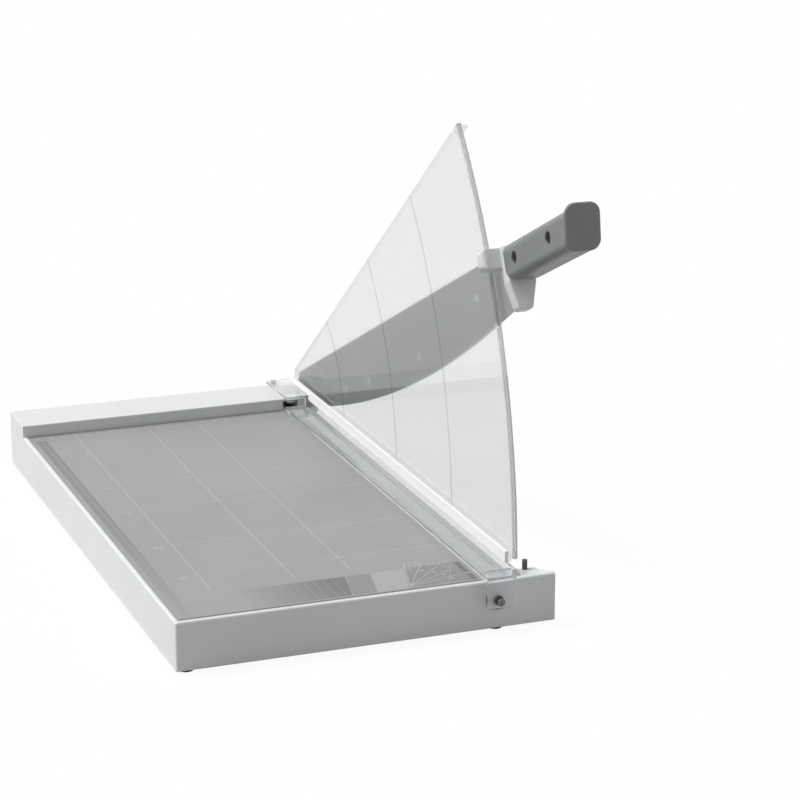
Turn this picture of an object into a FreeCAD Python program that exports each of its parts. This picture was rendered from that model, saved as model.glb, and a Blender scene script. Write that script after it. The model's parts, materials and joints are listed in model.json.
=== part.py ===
# Lever paper trimmer for A3 sheets, in millimetres.
# The frame: origin on the table under the middle of the whole outline, +X from the paper side towards
# the blade, +Y from the handle end towards the paper stop, +Z up.
# Everything is drawn about the centre of the housing's underside and moved to that frame at the end.
# The arm is drawn half raised.
import FreeCAD, Part
import math
import os

V = FreeCAD.Vector

# Housing, board and front panel
housing_width = 248.0
housing_depth = 499.2
housing_height = 35.5
housing_wall = 2.0
housing_top = 3.5
board_rim = 3.0
board_thickness = 1.5
board_recess = 0.5
cover_height = 3.5
cover_plate = 1.5
cover_rim = 4.0
ear_reach = 33.0
front_thickness = 3.5
front_skin = 1.2
front_tab_width = 14.0
front_tab_shares = (0.12, 0.4, 0.685)
front_corner = 1.6
top_round = 1.5
ear_depth = 16.5
ear_tip_depth = 3.5
ear_straight = 23.5
slot_wall = 2.5
slot_depth = 6.5
slot_side = 0.25
edge_soft = 0.6

# Paper stop rail
rail_depth = 46.1
rail_height = 9.4
rail_wall = 2.0
rail_window_left = 21.7
rail_window_sill = 0.8

# Blades
fixed_blade_thickness = 3.95
fixed_blade_height = 20.0
cut_gap = 0.05
blade_thickness = 4.0
blade_past_guard = 32.8
blade_top = 25.8
blade_belly = 31.6
blade_belly_share = 0.5604
blade_curve = 3.0024
blade_heel = 14.0
bevel_height = 6.0
bevel_depth = 3.2

# Pivot and swing
pivot_from_back = 34.2
pivot_rise = 3.0
arm_rest = 24.7
arm_closed = 2.2
shoulder_radius = 4.0
thread_radius = 3.0
bush_radius = 6.0
bolt_head_radius = 7.5
bolt_head_height = 4.5
thrust_washer_thickness = 0.5
thrust_washer_radius = 9.0
outer_washer_thickness = 1.5
outer_washer_radius = 8.5
disc_spring_thickness = 0.8
nut_radius = 4.0
nut_length = 6.0
block_length = 20.6
block_inset = 8.0
block_foot = 6.0
flange_length = 18.0
flange_drop = 1.5
flange_height = 24.0
flange_screw_shares = (0.29, 0.75)

# Arm casting
bar_thickness = 6.0
bar_setback = 9.0
rear_overhang = 14.5
rear_corner = 8.0
lobe_radius = 11.0
end_block_length = 10.0
end_block_left = 8.3
end_block_right = 2.2
end_block_bottom = 19.8
end_block_taper_left = 4.3
end_block_taper_right = 5.7
end_block_foot_round = 3.0
end_block_face_round = 1.2
pad_length = 22.0
pad_height = 14.0
pad_thickness = 4.5
lug_back = 11.0
lug_reach = 13.7
lug_length = 12.5
lug_bottom = 12.0
lug_corner = 3.5
tang_length = 96.0
tang_thickness = 8.0
tang_bottom = 4.0
tang_top = 22.0
blade_screw_shares = ((0.2161, -8.5), (0.3361, -12.5), (0.5802, -14.0), (0.8523, 5.0))

# Handle
handle_width = 24.0
handle_length = 112.0
handle_gap = 0.5
handle_rear_top = 26.1
handle_rear_bottom = -0.4
handle_neck_top = 25.7
handle_neck_bottom = -1.7
handle_end_top = 28.6
handle_end_bottom = -2.1
handle_corner = 6.5
handle_flare_length = 4.0
handle_end_flare = 0.9
handle_end_round = 1.2
handle_end_lean = 0.3
handle_heel_round = 10.0
handle_screw_places = (18.0, 80.0)
handle_screw_height = 13.4
handle_recess_radius = 4.5
handle_recess_depth = 3.5
handle_screw_head = 4.0
insert_radius = 3.4
insert_length = 5.5

# Clamp bar and guard
clamp_width = 22.0
clamp_gap = 1.9
clamp_travel = 1.8
clamp_height = 7.6
flat_thickness = 2.2
flat_edge_round = 0.8
leg_gap = 3.2
leg_thickness = 3.8
leg_length = 28.6
leg_corner = 3.5
leg_inset = 1.5
bar_rail_gap = 7.1
plate_thickness = 2.0
plate_rail_gap = 2.0
plate_back_gap = 0.8
riser_thickness = 4.0
riser_width = 4.5
rib_width = 2.4
rib_height = 8.0
rib_start = 8.6
rib_past_guard = 3.0
guard_thickness = 2.5
guard_past_front = 2.0
guard_edge_angle = 36.94
guard_edge_offset = 30.0
guard_foot_rise = 5.5
guard_back_gap = 13.0
guard_back_round = 10.0
bead_depth = 3.0
bead_width = 2.9
groove_shares = (0.2313, 0.4946, 0.7452)
groove_width = 1.6
groove_depth = 0.25
tab_length = 9.0
tab_depth = 2.4
tab_reach = 6.0

# Clamp guides and lift springs
guide_screw_radius = 2.0
guide_head_radius = 3.0
guide_head_height = 1.8
guide_screw_rise = 5.1
guide_screw_grip = 12.0
spacer_wall = 1.5
drive_width = 1.0
drive_half = 1.8
rear_guide_inset = 4.5
rear_guide_from_back = 5.7
rear_spring_from_back = 18.2
rear_head_radius = 2.9
rear_head_height = 1.2
slider_width = 10.0
slider_length_front = 26.0
slider_length_rear = 20.4
slider_height = 11.0
spring_radius = 3.0
spring_wire = 0.8
spring_turns = 6
front_spring_place = 23.0

# Feet, bosses and fasteners
foot_radius = 6.0
foot_height = 3.0
foot_taper = 0.8
foot_inset = 9.5
foot_head_radius = 3.0
foot_head_height = 1.4
foot_recess = 1.8
boss_size = 8.4
boss_share = 0.34
screw_radius = 1.5
buffer_radius = 1.9
buffer_from_cut = 11.6
buffer_from_front = 15.0
buffer_depth = 8.0
buffer_gap = 0.05
stiffener_width = 26.0
stiffener_height = 14.0
stiffener_wall = 1.5
stiffener_shares = (0.28, 0.645)
stiffener_end_gap = 22.0
fixed_blade_screws = 5
fixed_screw_inset = 25.0
countersink_radius = 3.6
countersink_depth = 1.9

# Clearances
running = 0.03
easy = 0.1
free = 0.25
glue = 0.05

# Places worked out from the sizes
left = -housing_width / 2
right = housing_width / 2
near = -housing_depth / 2
far = housing_depth / 2
cut_x = right + fixed_blade_thickness + cut_gap
board_top = housing_height - board_recess
front_right = right + ear_reach
rail_front = far - rail_depth
rail_top = housing_height + rail_height
pivot_y = far - pivot_from_back
pivot_height = housing_height + pivot_rise
boss_height = housing_height * boss_share
guard_radius = pivot_y - near + guard_past_front
blade_end = guard_radius + blade_past_guard
blade_belly_place = blade_end * blade_belly_share
blade_edge_radius = blade_end * blade_curve
flange_top = housing_height - flange_drop
flange_bottom = flange_top - flange_height
flange_screw_heights = [flange_bottom + share * flange_height for share in flange_screw_shares]
block_right = cut_x - thrust_washer_thickness
block_left = right - block_inset
block_near = pivot_y - block_length / 2
block_far = pivot_y + block_length / 2
block_top = rail_top - rail_wall - easy
bar_left = cut_x + blade_thickness
bar_right = bar_left + bar_thickness
end_block_near = blade_end + end_block_length
end_block_x0 = cut_x - end_block_left
end_block_x1 = bar_right + end_block_right
handle_middle = cut_x + end_block_left / 4
handle_start = end_block_near + handle_gap
blade_screw_places = [(share * blade_end, v) for share, v in blade_screw_shares]
groove_radii = [share * guard_radius for share in groove_shares]
tang_x0 = handle_middle - tang_thickness / 2
tang_x1 = handle_middle + tang_thickness / 2
clamp_right = right
clamp_left = clamp_right - clamp_width
clamp_bottom = housing_height + clamp_gap
clamp_top = clamp_bottom + clamp_height
leg_bottom = clamp_top - leg_length
guide_screw_height = leg_bottom + guide_screw_rise
slider_bottom = guide_screw_height - slider_height / 2
slider_top = slider_bottom + slider_height
rib_top = clamp_top + rib_height
guard_foot_height = clamp_top + guard_foot_rise
leg_near = near - leg_gap - leg_thickness
leg_middle = (clamp_left + clamp_right - leg_inset) / 2
bar_far = rail_front - bar_rail_gap
plate_bottom = rail_top + plate_rail_gap
plate_top = plate_bottom + plate_thickness
plate_far = far - plate_back_gap
guard_x = clamp_right
guard_right = guard_x + guard_thickness
panel_radius = guard_radius - bead_depth
rear_guide_x = clamp_left + rear_guide_inset
rear_guide_y = far - rear_guide_from_back
rear_spring_y = far - rear_spring_from_back
foot_places = {
    "near_left": (left + foot_inset, near + foot_inset),
    "near_right": (right - foot_inset, near + foot_inset),
    "far_left": (left + foot_inset, far - foot_inset),
    "far_right": (right - foot_inset, far - foot_inset),
}
cover_screw_places = ((left + foot_inset, 0.0), (right - foot_inset, 0.0))
arc_centre_v = blade_edge_radius - blade_belly


def box(x0, x1, y0, y1, z0, z1):
    """A block between two corners."""
    return Part.makeBox(x1 - x0, y1 - y0, z1 - z0, V(x0, y0, z0))


def rod(radius, start, end):
    """A round bar from one point to another."""
    a = V(*start)
    b = V(*end)
    return Part.makeCylinder(radius, (b - a).Length, a, b - a)


def ring(outer, inner, start, end):
    """A washer or bush between two points."""
    a = V(*start)
    b = V(*end)
    step = (b - a).normalize()
    return rod(outer, start, end).cut(Part.makeCylinder(inner, (V(*end) - a).Length + 2, a - step, step))


def fuse(*shapes):
    """One solid from pieces that touch or overlap."""
    whole = shapes[0].multiFuse(list(shapes[1:]))
    return whole.removeSplitter()


def prism_x(outline, x0, x1):
    """An outline of edges in the plane x = x0, drawn out to x1."""
    face = Part.Face(Part.Wire(outline))
    return face.extrude(V(x1 - x0, 0, 0))


def arm_point(u, v, x):
    """A point of the arm at rest: u along the arm from the pivot, v square to it."""
    angle = math.radians(arm_rest)
    y = pivot_y - u * math.cos(angle) + v * math.sin(angle)
    z = pivot_height + u * math.sin(angle) + v * math.cos(angle)
    return V(x, y, z)


def arm_line(a, b, x):
    """A straight edge between two arm places."""
    return Part.makeLine(arm_point(a[0], a[1], x), arm_point(b[0], b[1], x))


def arm_arc(a, m, b, x):
    """A round edge through three arm places."""
    return Part.Arc(arm_point(*a, x), arm_point(*m, x), arm_point(*b, x)).toShape()


def arm_box(u0, u1, v0, v1, x0, x1):
    """A block whose sides follow the arm."""
    corners = [(u0, v0), (u1, v0), (u1, v1), (u0, v1)]
    edges = [arm_line(corners[i], corners[(i + 1) % 4], x0) for i in range(4)]
    return prism_x(edges, x0, x1)


def arm_rod(radius, u, v, x0, x1):
    """A round bar across the arm."""
    return rod(radius, tuple(arm_point(u, v, x0)), tuple(arm_point(u, v, x1)))


def edge_height(u, lift=0.0):
    """Height v of the blade's edge at the place u, or of a curve that lies above it by lift."""
    radius = blade_edge_radius - lift
    return arc_centre_v - math.sqrt(radius ** 2 - (u - blade_belly_place) ** 2)


def countersunk(x_face, y, z, tip):
    """A countersunk screw along X whose head is flush with x_face, with its point at x = tip."""
    way = 1 if tip > x_face else -1
    head = Part.makeCone(countersink_radius, screw_radius, countersink_depth, V(x_face, y, z), V(way, 0, 0))
    return fuse(head, rod(screw_radius, (x_face, y, z), (tip, y, z)))


def countersunk_hole(x_face, y, z, tip):
    """The hole that a countersunk screw sits in."""
    way = 1 if tip > x_face else -1
    wide = countersink_radius + running
    thin = screw_radius + running
    head = Part.makeCone(wide, thin, countersink_depth + running, V(x_face, y, z), V(way, 0, 0))
    return fuse(head, rod(thin, (x_face, y, z), (tip + way * running, y, z)))


# Housing
def pivot_notch():
    """Room for the pivot block and its nut, through the housing's top and right wall."""
    low = block_foot - easy
    return box(block_left - nut_length - 2, right + 1, block_near - easy, block_far + easy, low, rail_top)


def boss(place):
    """A screw block on the side wall, above a foot."""
    x, y = place
    wall = left + housing_wall / 2 if x < 0 else right - housing_wall / 2
    inner = x + boss_size / 2 if x < 0 else x - boss_size / 2
    return box(min(wall, inner), max(wall, inner), y - boss_size / 2, y + boss_size / 2, cover_height, boss_height)


def base_housing():
    shell = box(left, right, near + front_thickness, far, cover_height, housing_height)
    inside = box(left + housing_wall, right - housing_wall, near, far - housing_wall,
                 0, housing_height - housing_top)
    shell = shell.cut(inside)
    for place in list(foot_places.values()) + list(cover_screw_places):
        shell = shell.fuse(boss(place))
    floor = board_top - board_thickness
    cuts = [box(left + board_rim, right + 1, near, rail_front, floor, housing_height + 1), pivot_notch()]
    for x, y in list(foot_places.values()) + list(cover_screw_places):
        cuts.append(rod(screw_radius + running, (x, y, cover_height - 1), (x, y, boss_height - 1)))
    for x, y in rail_screw_places():
        cuts.append(rod(screw_radius + easy, (x, y, floor - housing_top), (x, y, housing_height + 1)))
    for x, z in front_screw_places():
        cuts.append(rod(screw_radius + easy, (x, near, z), (x, near + front_thickness + 2 * housing_wall, z)))
    for y in fixed_screw_places():
        cuts.append(rod(screw_radius + easy, (right - 2 * housing_wall, y, fixed_screw_height()),
                        (right + 1, y, fixed_screw_height())))
    for z in flange_screw_heights:
        cuts.append(rod(screw_radius + easy, (right - 2 * housing_wall, flange_screw_y(), z),
                        (right + 1, flange_screw_y(), z)))
    cuts.append(rod(guide_screw_radius + free, (rear_guide_x, rear_guide_y, 0),
                    (rear_guide_x, rear_guide_y, housing_height + 1)))
    for x in front_tab_places():
        shell = shell.fuse(front_tab(x))
    return shell.cut(Part.makeCompound(cuts + [outside_left_round()])).removeSplitter()


def outside_left_round():
    """What the rounded left edge of the top lacks of a sharp one, from the front panel to the paper stop."""
    y0 = near + front_thickness - 1
    low = housing_height - top_round
    sharp = box(left - 1, left + top_round, y0, rail_front, low, housing_height + 1)
    return sharp.cut(rod(top_round, (left + top_round, y0 - 1, low), (left + top_round, rail_front + 1, low)))


def front_tab_places():
    return [left + share * housing_width for share in front_tab_shares]


def front_tab(x):
    """A downturned tab behind the front panel that takes one of the panel's screws."""
    y0 = near + front_thickness
    half = front_tab_width / 2
    return box(x - half, x + half, y0, y0 + housing_wall, housing_height / 3, housing_height - housing_top / 2)


def front_screw_places():
    return [(x, housing_height / 2) for x in front_tab_places()]


def front_screw_holes():
    """Blind holes in the back of the front panel, which end inside its thickness."""
    return [rod(screw_radius + running, (x, near + front_skin, z), (x, near + front_thickness + 1, z))
            for x, z in front_screw_places()]


def rail_screw_places():
    y = (rail_front + far) / 2
    return [(left + share * housing_width, y) for share in (0.1, 0.45, 0.8)]


def fixed_screw_height():
    return board_top - fixed_blade_height * 0.6


def fixed_screw_places():
    start = near + ear_depth + fixed_screw_inset
    end = rail_front - fixed_screw_inset
    step = (end - start) / (fixed_blade_screws - 1)
    return [start + i * step for i in range(fixed_blade_screws)]


def flange_screw_y():
    return block_far + flange_length / 2


def stiffener(share):
    """A hat channel welded under the top plate."""
    top = housing_height - housing_top
    x0 = left + share * housing_width - stiffener_width / 2
    x1 = x0 + stiffener_width
    y0 = near + front_thickness + stiffener_end_gap
    y1 = far - housing_wall - stiffener_end_gap
    body = box(x0, x1, y0, y1, top - stiffener_height, top)
    third = stiffener_width / 4
    channel = box(x0 + third, x1 - third, y0 - 1, y1 + 1, top - stiffener_height + stiffener_wall, top + 1)
    sides = [box(x0 - 1, x0 + third - stiffener_wall, y0 - 1, y1 + 1,
                 top - stiffener_height - 1, top - stiffener_wall),
             box(x1 - third + stiffener_wall, x1 + 1, y0 - 1, y1 + 1,
                 top - stiffener_height - 1, top - stiffener_wall)]
    return body.cut(Part.makeCompound([channel] + sides))


def cutting_board():
    y0 = near + front_thickness + easy
    board = box(left + board_rim + easy, right, y0, rail_front - easy, board_top - board_thickness, board_top)
    return board


def ear_outline():
    """The front panel seen from above, with the ear that carries the arm's buffer."""
    y_back = near + front_thickness
    y_ear = near + ear_depth
    x_ear = right + ear_straight
    x_tip = front_right
    y_tip = near + ear_tip_depth
    z = 0
    bend = V((x_ear + x_tip) / 2 - 1.5, (y_ear + y_tip) / 2 - 1.5, z)
    points = [V(left, near, z), V(x_tip, near, z), V(x_tip, y_tip, z)]
    edges = [Part.makeLine(points[0], points[1]), Part.makeLine(points[1], points[2])]
    edges.append(Part.Arc(points[2], bend, V(x_ear, y_ear, z)).toShape())
    rest = [V(x_ear, y_ear, z), V(right, y_ear, z), V(right, y_back, z), V(left, y_back, z), points[0]]
    edges += [Part.makeLine(rest[i], rest[i + 1]) for i in range(4)]
    return Part.Wire(edges)


def buffer_place():
    return cut_x + buffer_from_cut, near + buffer_from_front


def closed_bar_height(y):
    """Height of the arm bar's lower edge above the housing's underside when the arm is down."""
    angle = math.radians(arm_closed)
    u = (pivot_y - y) / math.cos(angle)
    v = edge_height(u, bar_setback)
    return pivot_height + u * math.sin(angle) + v * math.cos(angle)


def front_panel():
    panel = Part.Face(ear_outline()).extrude(V(0, 0, housing_height))
    corner = [e for e in panel.Edges if is_near_left_corner(e)]
    panel = panel.makeFillet(min(front_corner, front_thickness / 2), corner)
    top = [e for e in panel.Edges if is_top_front_edge(e)]
    panel = panel.makeFillet(top_round, top)
    slot = box(cut_x - slot_side, cut_x + blade_thickness + slot_side * 2, near + slot_wall,
               near + ear_depth + 1, housing_height - slot_depth, housing_height + 1)
    x, y = buffer_place()
    hole = rod(buffer_radius + running, (x, y, housing_height - buffer_depth), (x, y, housing_height + 1))
    half = guide_screw_radius + 2 * running
    low = guide_screw_height - clamp_travel - half
    guide = fuse(box(leg_middle - half, leg_middle + half, near - 1, near + front_thickness + 1,
                     low + half, guide_screw_height),
                 rod(half, (leg_middle, near - 1, low + half), (leg_middle, near + front_thickness + 1, low + half)),
                 rod(half, (leg_middle, near - 1, guide_screw_height),
                     (leg_middle, near + front_thickness + 1, guide_screw_height)))
    return panel.cut(Part.makeCompound([slot, hole, guide] + front_screw_holes()))


def is_near_left_corner(edge):
    box_ = edge.BoundBox
    upright = box_.ZLength > housing_height * 0.9
    return upright and abs(box_.XMin - left) < 1e-6 and abs(box_.YMin - near) < 1e-6


def is_top_front_edge(edge):
    box_ = edge.BoundBox
    on_top = box_.ZMin > housing_height - 1e-6
    return on_top and box_.XLength > housing_width * 0.5 and abs(box_.YMax - near) < 1e-6


def arm_buffer():
    x, y = buffer_place()
    angle_side = min(closed_bar_height(y - buffer_radius), closed_bar_height(y + buffer_radius))
    top = angle_side - buffer_gap
    return rod(buffer_radius, (x, y, housing_height - buffer_depth), (x, y, top))


def bottom_cover():
    plate = box(left, right, near + front_thickness, far, 0, cover_height)
    pan = box(left + cover_rim, right - cover_rim, near + front_thickness + cover_rim, far - cover_rim,
              cover_plate, cover_height + 1)
    plate = plate.cut(pan)
    for x, y in list(foot_places.values()) + list(cover_screw_places):
        plate = plate.fuse(rod(boss_size / 2, (x, y, cover_plate / 2), (x, y, cover_height)))
    cuts = []
    for x, y in list(foot_places.values()):
        cuts.append(rod(screw_radius + easy, (x, y, -1), (x, y, cover_height + 1)))
    for x, y in cover_screw_places:
        cuts.append(rod(screw_radius + easy, (x, y, -1), (x, y, cover_height + 1)))
        cuts.append(Part.makeCone(foot_head_radius + easy, screw_radius + easy, foot_head_radius - screw_radius,
                                  V(x, y, 0), V(0, 0, 1)))
    return plate.cut(Part.makeCompound(cuts)).removeSplitter()


def foot(place):
    x, y = place
    body = Part.makeCone(foot_radius - foot_taper, foot_radius, foot_height, V(x, y, -foot_height), V(0, 0, 1))
    recess = rod(foot_head_radius + easy, (x, y, -foot_height - 1), (x, y, -foot_height + foot_recess))
    hole = rod(screw_radius + easy, (x, y, -foot_height), (x, y, 1))
    return body.cut(fuse(recess, hole))


def foot_screw(place):
    x, y = place
    seat = -foot_height + foot_recess
    head = rod(foot_head_radius, (x, y, seat - foot_head_height), (x, y, seat))
    return fuse(head, rod(screw_radius, (x, y, seat - foot_head_height / 2), (x, y, boss_height - 2)))


def cover_screw(place):
    x, y = place
    head = Part.makeCone(foot_head_radius, screw_radius, foot_head_radius - screw_radius, V(x, y, 0), V(0, 0, 1))
    return fuse(head, rod(screw_radius, (x, y, 0), (x, y, boss_height - 2)))


# Paper stop rail and pivot
def paper_stop_rail():
    rail = box(left, right, rail_front, far, housing_height, rail_top)
    top_edges = [e for e in rail.Edges if abs(e.BoundBox.ZMin - rail_top) < 1e-6]
    rail = rail.makeFillet(edge_soft, top_edges)
    ceiling = rail_top - rail_wall
    web = clamp_left - 3
    hollow = box(left + rail_wall, web, rail_front + rail_wall, far - rail_wall, housing_height - 1, ceiling)
    for x, y in rail_screw_places():
        hollow = hollow.cut(rod(screw_radius + 2, (x, y, housing_height - 2), (x, y, rail_top)))
    nut_room = box(web + rail_wall, right + 1, rail_front + rail_wall, block_far + easy,
                   housing_height - 1, ceiling)
    window = box(right - rail_window_left, block_left + 1, rail_front - 1, rail_front + rail_wall + 1,
                 housing_height + rail_window_sill, ceiling)
    block_room = box(block_left - easy, right + 1, rail_front - 1, block_far + easy, housing_height - 1, ceiling)
    guide = rod(guide_screw_radius + free, (rear_guide_x, rear_guide_y, housing_height - 1),
                (rear_guide_x, rear_guide_y, rail_top + 1))
    holes = [rod(screw_radius + running, (x, y, housing_height - 1), (x, y, rail_top - rail_wall))
             for x, y in rail_screw_places()]
    return rail.cut(Part.makeCompound([hollow, nut_room, guide])).cut(window).cut(block_room).cut(
        Part.makeCompound(holes))


def rail_screw(place):
    x, y = place
    seat = housing_height - housing_top
    head = rod(foot_head_radius, (x, y, seat - foot_head_height), (x, y, seat))
    return fuse(head, rod(screw_radius, (x, y, seat - foot_head_height / 2), (x, y, rail_top - rail_wall - 1)))


def front_panel_screw(place):
    x, z = place
    seat = near + front_thickness + housing_wall
    head = rod(foot_head_radius, (x, seat, z), (x, seat + foot_head_height, z))
    return fuse(head, rod(screw_radius, (x, near + front_skin + easy, z), (x, seat + foot_head_height / 2, z)))


def pivot_block():
    tower = box(block_left, block_right, block_near, block_far, block_foot, block_top)
    flange = box(right, block_right, block_far, block_far + flange_length, flange_bottom, flange_top)
    block = fuse(tower, flange)
    bore = rod(thread_radius + running, (block_left - 1, pivot_y, pivot_height),
               (block_right + 1, pivot_y, pivot_height))
    holes = [countersunk_hole(block_right, flange_screw_y(), z, right - 1) for z in flange_screw_heights]
    return block.cut(Part.makeCompound([bore] + holes))


def wall_nut(y, z):
    """A nut on the inside of the housing's right wall."""
    x1 = right - housing_wall
    return ring(countersink_radius, screw_radius + running, (x1 - 2.4, y, z), (x1, y, z))


def pivot_bolt():
    head_x = bar_right + outer_washer_thickness + disc_spring_thickness
    shoulder = rod(shoulder_radius, (block_right, pivot_y, pivot_height), (head_x, pivot_y, pivot_height))
    thread = rod(thread_radius, (block_left - nut_length - 1, pivot_y, pivot_height),
                 (block_right, pivot_y, pivot_height))
    head = rod(bolt_head_radius, (head_x, pivot_y, pivot_height),
               (head_x + bolt_head_height, pivot_y, pivot_height))
    rim = [e for e in head.Edges if abs(e.BoundBox.XMin - head_x - bolt_head_height) < 1e-6]
    head = head.makeFillet(bolt_head_height / 4, rim)
    flats = math.radians(60)
    corner = bolt_head_radius / 2
    points = [V(head_x + bolt_head_height + 1, pivot_y + corner * math.cos(i * flats),
                pivot_height + corner * math.sin(i * flats)) for i in range(7)]
    socket = Part.Face(Part.makePolygon(points)).extrude(V(-bolt_head_height * 0.6 - 1, 0, 0))
    return fuse(shoulder, thread, head).cut(socket)


def pivot_ring(outer, x0, x1):
    """A washer on the bolt's shoulder."""
    inner = shoulder_radius + running
    return ring(outer, inner, (x0, pivot_y, pivot_height), (x1, pivot_y, pivot_height))


# Blades
def fixed_blade():
    blade = box(right, cut_x - cut_gap, near + ear_depth + free, rail_front - easy,
                board_top - fixed_blade_height, board_top)
    holes = [countersunk_hole(cut_x - cut_gap, y, fixed_screw_height(), right - 1) for y in fixed_screw_places()]
    return blade.cut(Part.makeCompound(holes))


def arm_profile(lift, end, x):
    """Side outline of the blade, or of the bar that backs it, up to the place end."""
    corner = rear_overhang - rear_corner * (1 - math.sqrt(0.5))
    top = blade_top
    lower = lobe_radius
    lobe = rear_overhang - lobe_radius + lobe_radius * math.sqrt(0.5)
    heel = (blade_heel, edge_height(blade_heel, lift))
    middle = ((blade_heel + end) / 2, edge_height((blade_heel + end) / 2, lift))
    last = (end, edge_height(end, lift))
    return [
        arm_line((end, top), (rear_corner - rear_overhang, top), x),
        arm_arc((rear_corner - rear_overhang, top), (-corner, top - rear_corner * (1 - math.sqrt(0.5))),
                (-rear_overhang, top - rear_corner), x),
        arm_line((-rear_overhang, top - rear_corner), (-rear_overhang, 0), x),
        arm_arc((-rear_overhang, 0), (-lobe, -lobe_radius * math.sqrt(0.5)), (lobe_radius - rear_overhang, -lower), x),
        arm_line((lobe_radius - rear_overhang, -lower), (0, -lower), x),
        arm_line((0, -lower), heel, x),
        arm_arc(heel, middle, last, x),
        arm_line(last, (end, top), x),
    ]


def bevel_ring():
    """What is ground off the blade's outer face along its edge."""
    half_angle = math.degrees(blade_end / blade_edge_radius)
    centre = arm_point(blade_belly_place, arc_centre_v, 0)
    down = (arm_point(blade_belly_place, -blade_belly, 0) - centre).normalize()

    def at(radius, x):
        return centre + down * radius + V(x, 0, 0)

    sharp = blade_edge_radius + 1
    outline = [at(sharp, bar_left + 1), at(sharp, bar_left - bevel_depth - bevel_depth / bevel_height),
               at(blade_edge_radius - bevel_height, bar_left), at(blade_edge_radius - bevel_height, bar_left + 1)]
    face = Part.Face(Part.makePolygon(outline + outline[:1]))
    start = face.rotated(centre, V(1, 0, 0), -half_angle)
    return start.revolve(centre, V(1, 0, 0), 2 * half_angle)


def blade():
    body = prism_x(arm_profile(0.0, blade_end, cut_x), cut_x, bar_left)
    bore = arm_rod(bush_radius, 0, 0, cut_x - 1, bar_left + 1)
    holes = [blade_screw_hole(place) for place in blade_screw_places]
    return body.cut(bevel_ring()).cut(Part.makeCompound([bore] + holes))


def blade_screw(place):
    point = arm_point(place[0], place[1], 0)
    return countersunk(cut_x + easy, point.y, point.z, bar_right - easy)


def blade_screw_hole(place):
    point = arm_point(place[0], place[1], 0)
    hole = countersunk_hole(cut_x + easy, point.y, point.z, bar_right + 1)
    mouth = rod(countersink_radius + running, (cut_x - 1, point.y, point.z), (cut_x + easy, point.y, point.z))
    return fuse(hole, mouth)


# Arm
def end_block():
    """The block at the end of the arm, narrower towards its foot."""
    low = -end_block_bottom
    section = [(end_block_x0, blade_top), (end_block_x1, blade_top), (end_block_x1, 0),
               (end_block_x1 - end_block_taper_right, low), (end_block_x0 + end_block_taper_left, low),
               (end_block_x0, 0)]
    points = [arm_point(blade_end, v, x) for x, v in section]
    face = Part.Face(Part.makePolygon(points + points[:1]))
    block = face.extrude(arm_point(end_block_near, 0, 0) - arm_point(blade_end, 0, 0))
    middle = (blade_end + end_block_near) / 2
    foot = [arm_point(middle, v, x) for x, v in section if v == low]
    foot_edges = [e for e in block.Edges if min((e.CenterOfMass - p).Length for p in foot) < 1e-3]
    block = block.makeFillet(end_block_foot_round, foot_edges)
    along = (arm_point(end_block_near, 0, 0) - arm_point(blade_end, 0, 0)).normalize()
    reach = (arm_point(end_block_near, 0, 0)).dot(along)
    rim = [e for e in block.Edges if abs(e.CenterOfMass.dot(along) - reach) < 1e-3]
    return block.makeFillet(end_block_face_round, rim)


def thumb_lug():
    """The lug that sticks out over the paper side of the guard's rim, and the shelf that carries it."""
    start = blade_end - lug_back
    lug = arm_box(start, start + lug_length, lug_bottom, blade_top, end_block_x0 - lug_reach, end_block_x0 + 1)
    outer = [e for e in lug.Edges if abs(e.BoundBox.XMax - (end_block_x0 - lug_reach)) < 1e-6]
    shelf = arm_box(start, blade_end + 1, lug_bottom, blade_top, end_block_x0, cut_x - easy)
    return fuse(lug.makeFillet(lug_corner, outer), shelf)


def landing_pad():
    """The pad on the bar's outer side that comes down on the buffer."""
    middle = (pivot_y - buffer_place()[1]) / math.cos(math.radians(arm_closed))
    u0 = middle - pad_length / 2
    u1 = middle + pad_length / 2
    corners = [(u0, edge_height(u0, bar_setback)), (u1, edge_height(u1, bar_setback)),
               (u1, edge_height(u1, bar_setback) + pad_height), (u0, edge_height(u0, bar_setback) + pad_height)]
    edges = [arm_line(corners[i], corners[(i + 1) % 4], bar_left + 1) for i in range(4)]
    return prism_x(edges, bar_left + 1, bar_right + pad_thickness)


def arm_casting():
    bar = prism_x(arm_profile(bar_setback, blade_end, bar_left), bar_left, bar_right)
    tang = arm_box(end_block_near - 1, end_block_near + tang_length, tang_bottom, tang_top,
                   tang_x0, tang_x1)
    body = bar.multiFuse([end_block(), thumb_lug(), tang, landing_pad()])
    cuts = [arm_rod(bush_radius, 0, 0, bar_left - 1, bar_right + 1)]
    cuts += [blade_screw_hole(place) for place in blade_screw_places]
    for place in handle_screw_places:
        cuts.append(arm_rod(guide_screw_radius + easy, handle_start + place, handle_screw_height,
                            tang_x0 - 1, tang_x1 + 1))
    return body.cut(Part.makeCompound(cuts)).removeSplitter()


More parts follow.
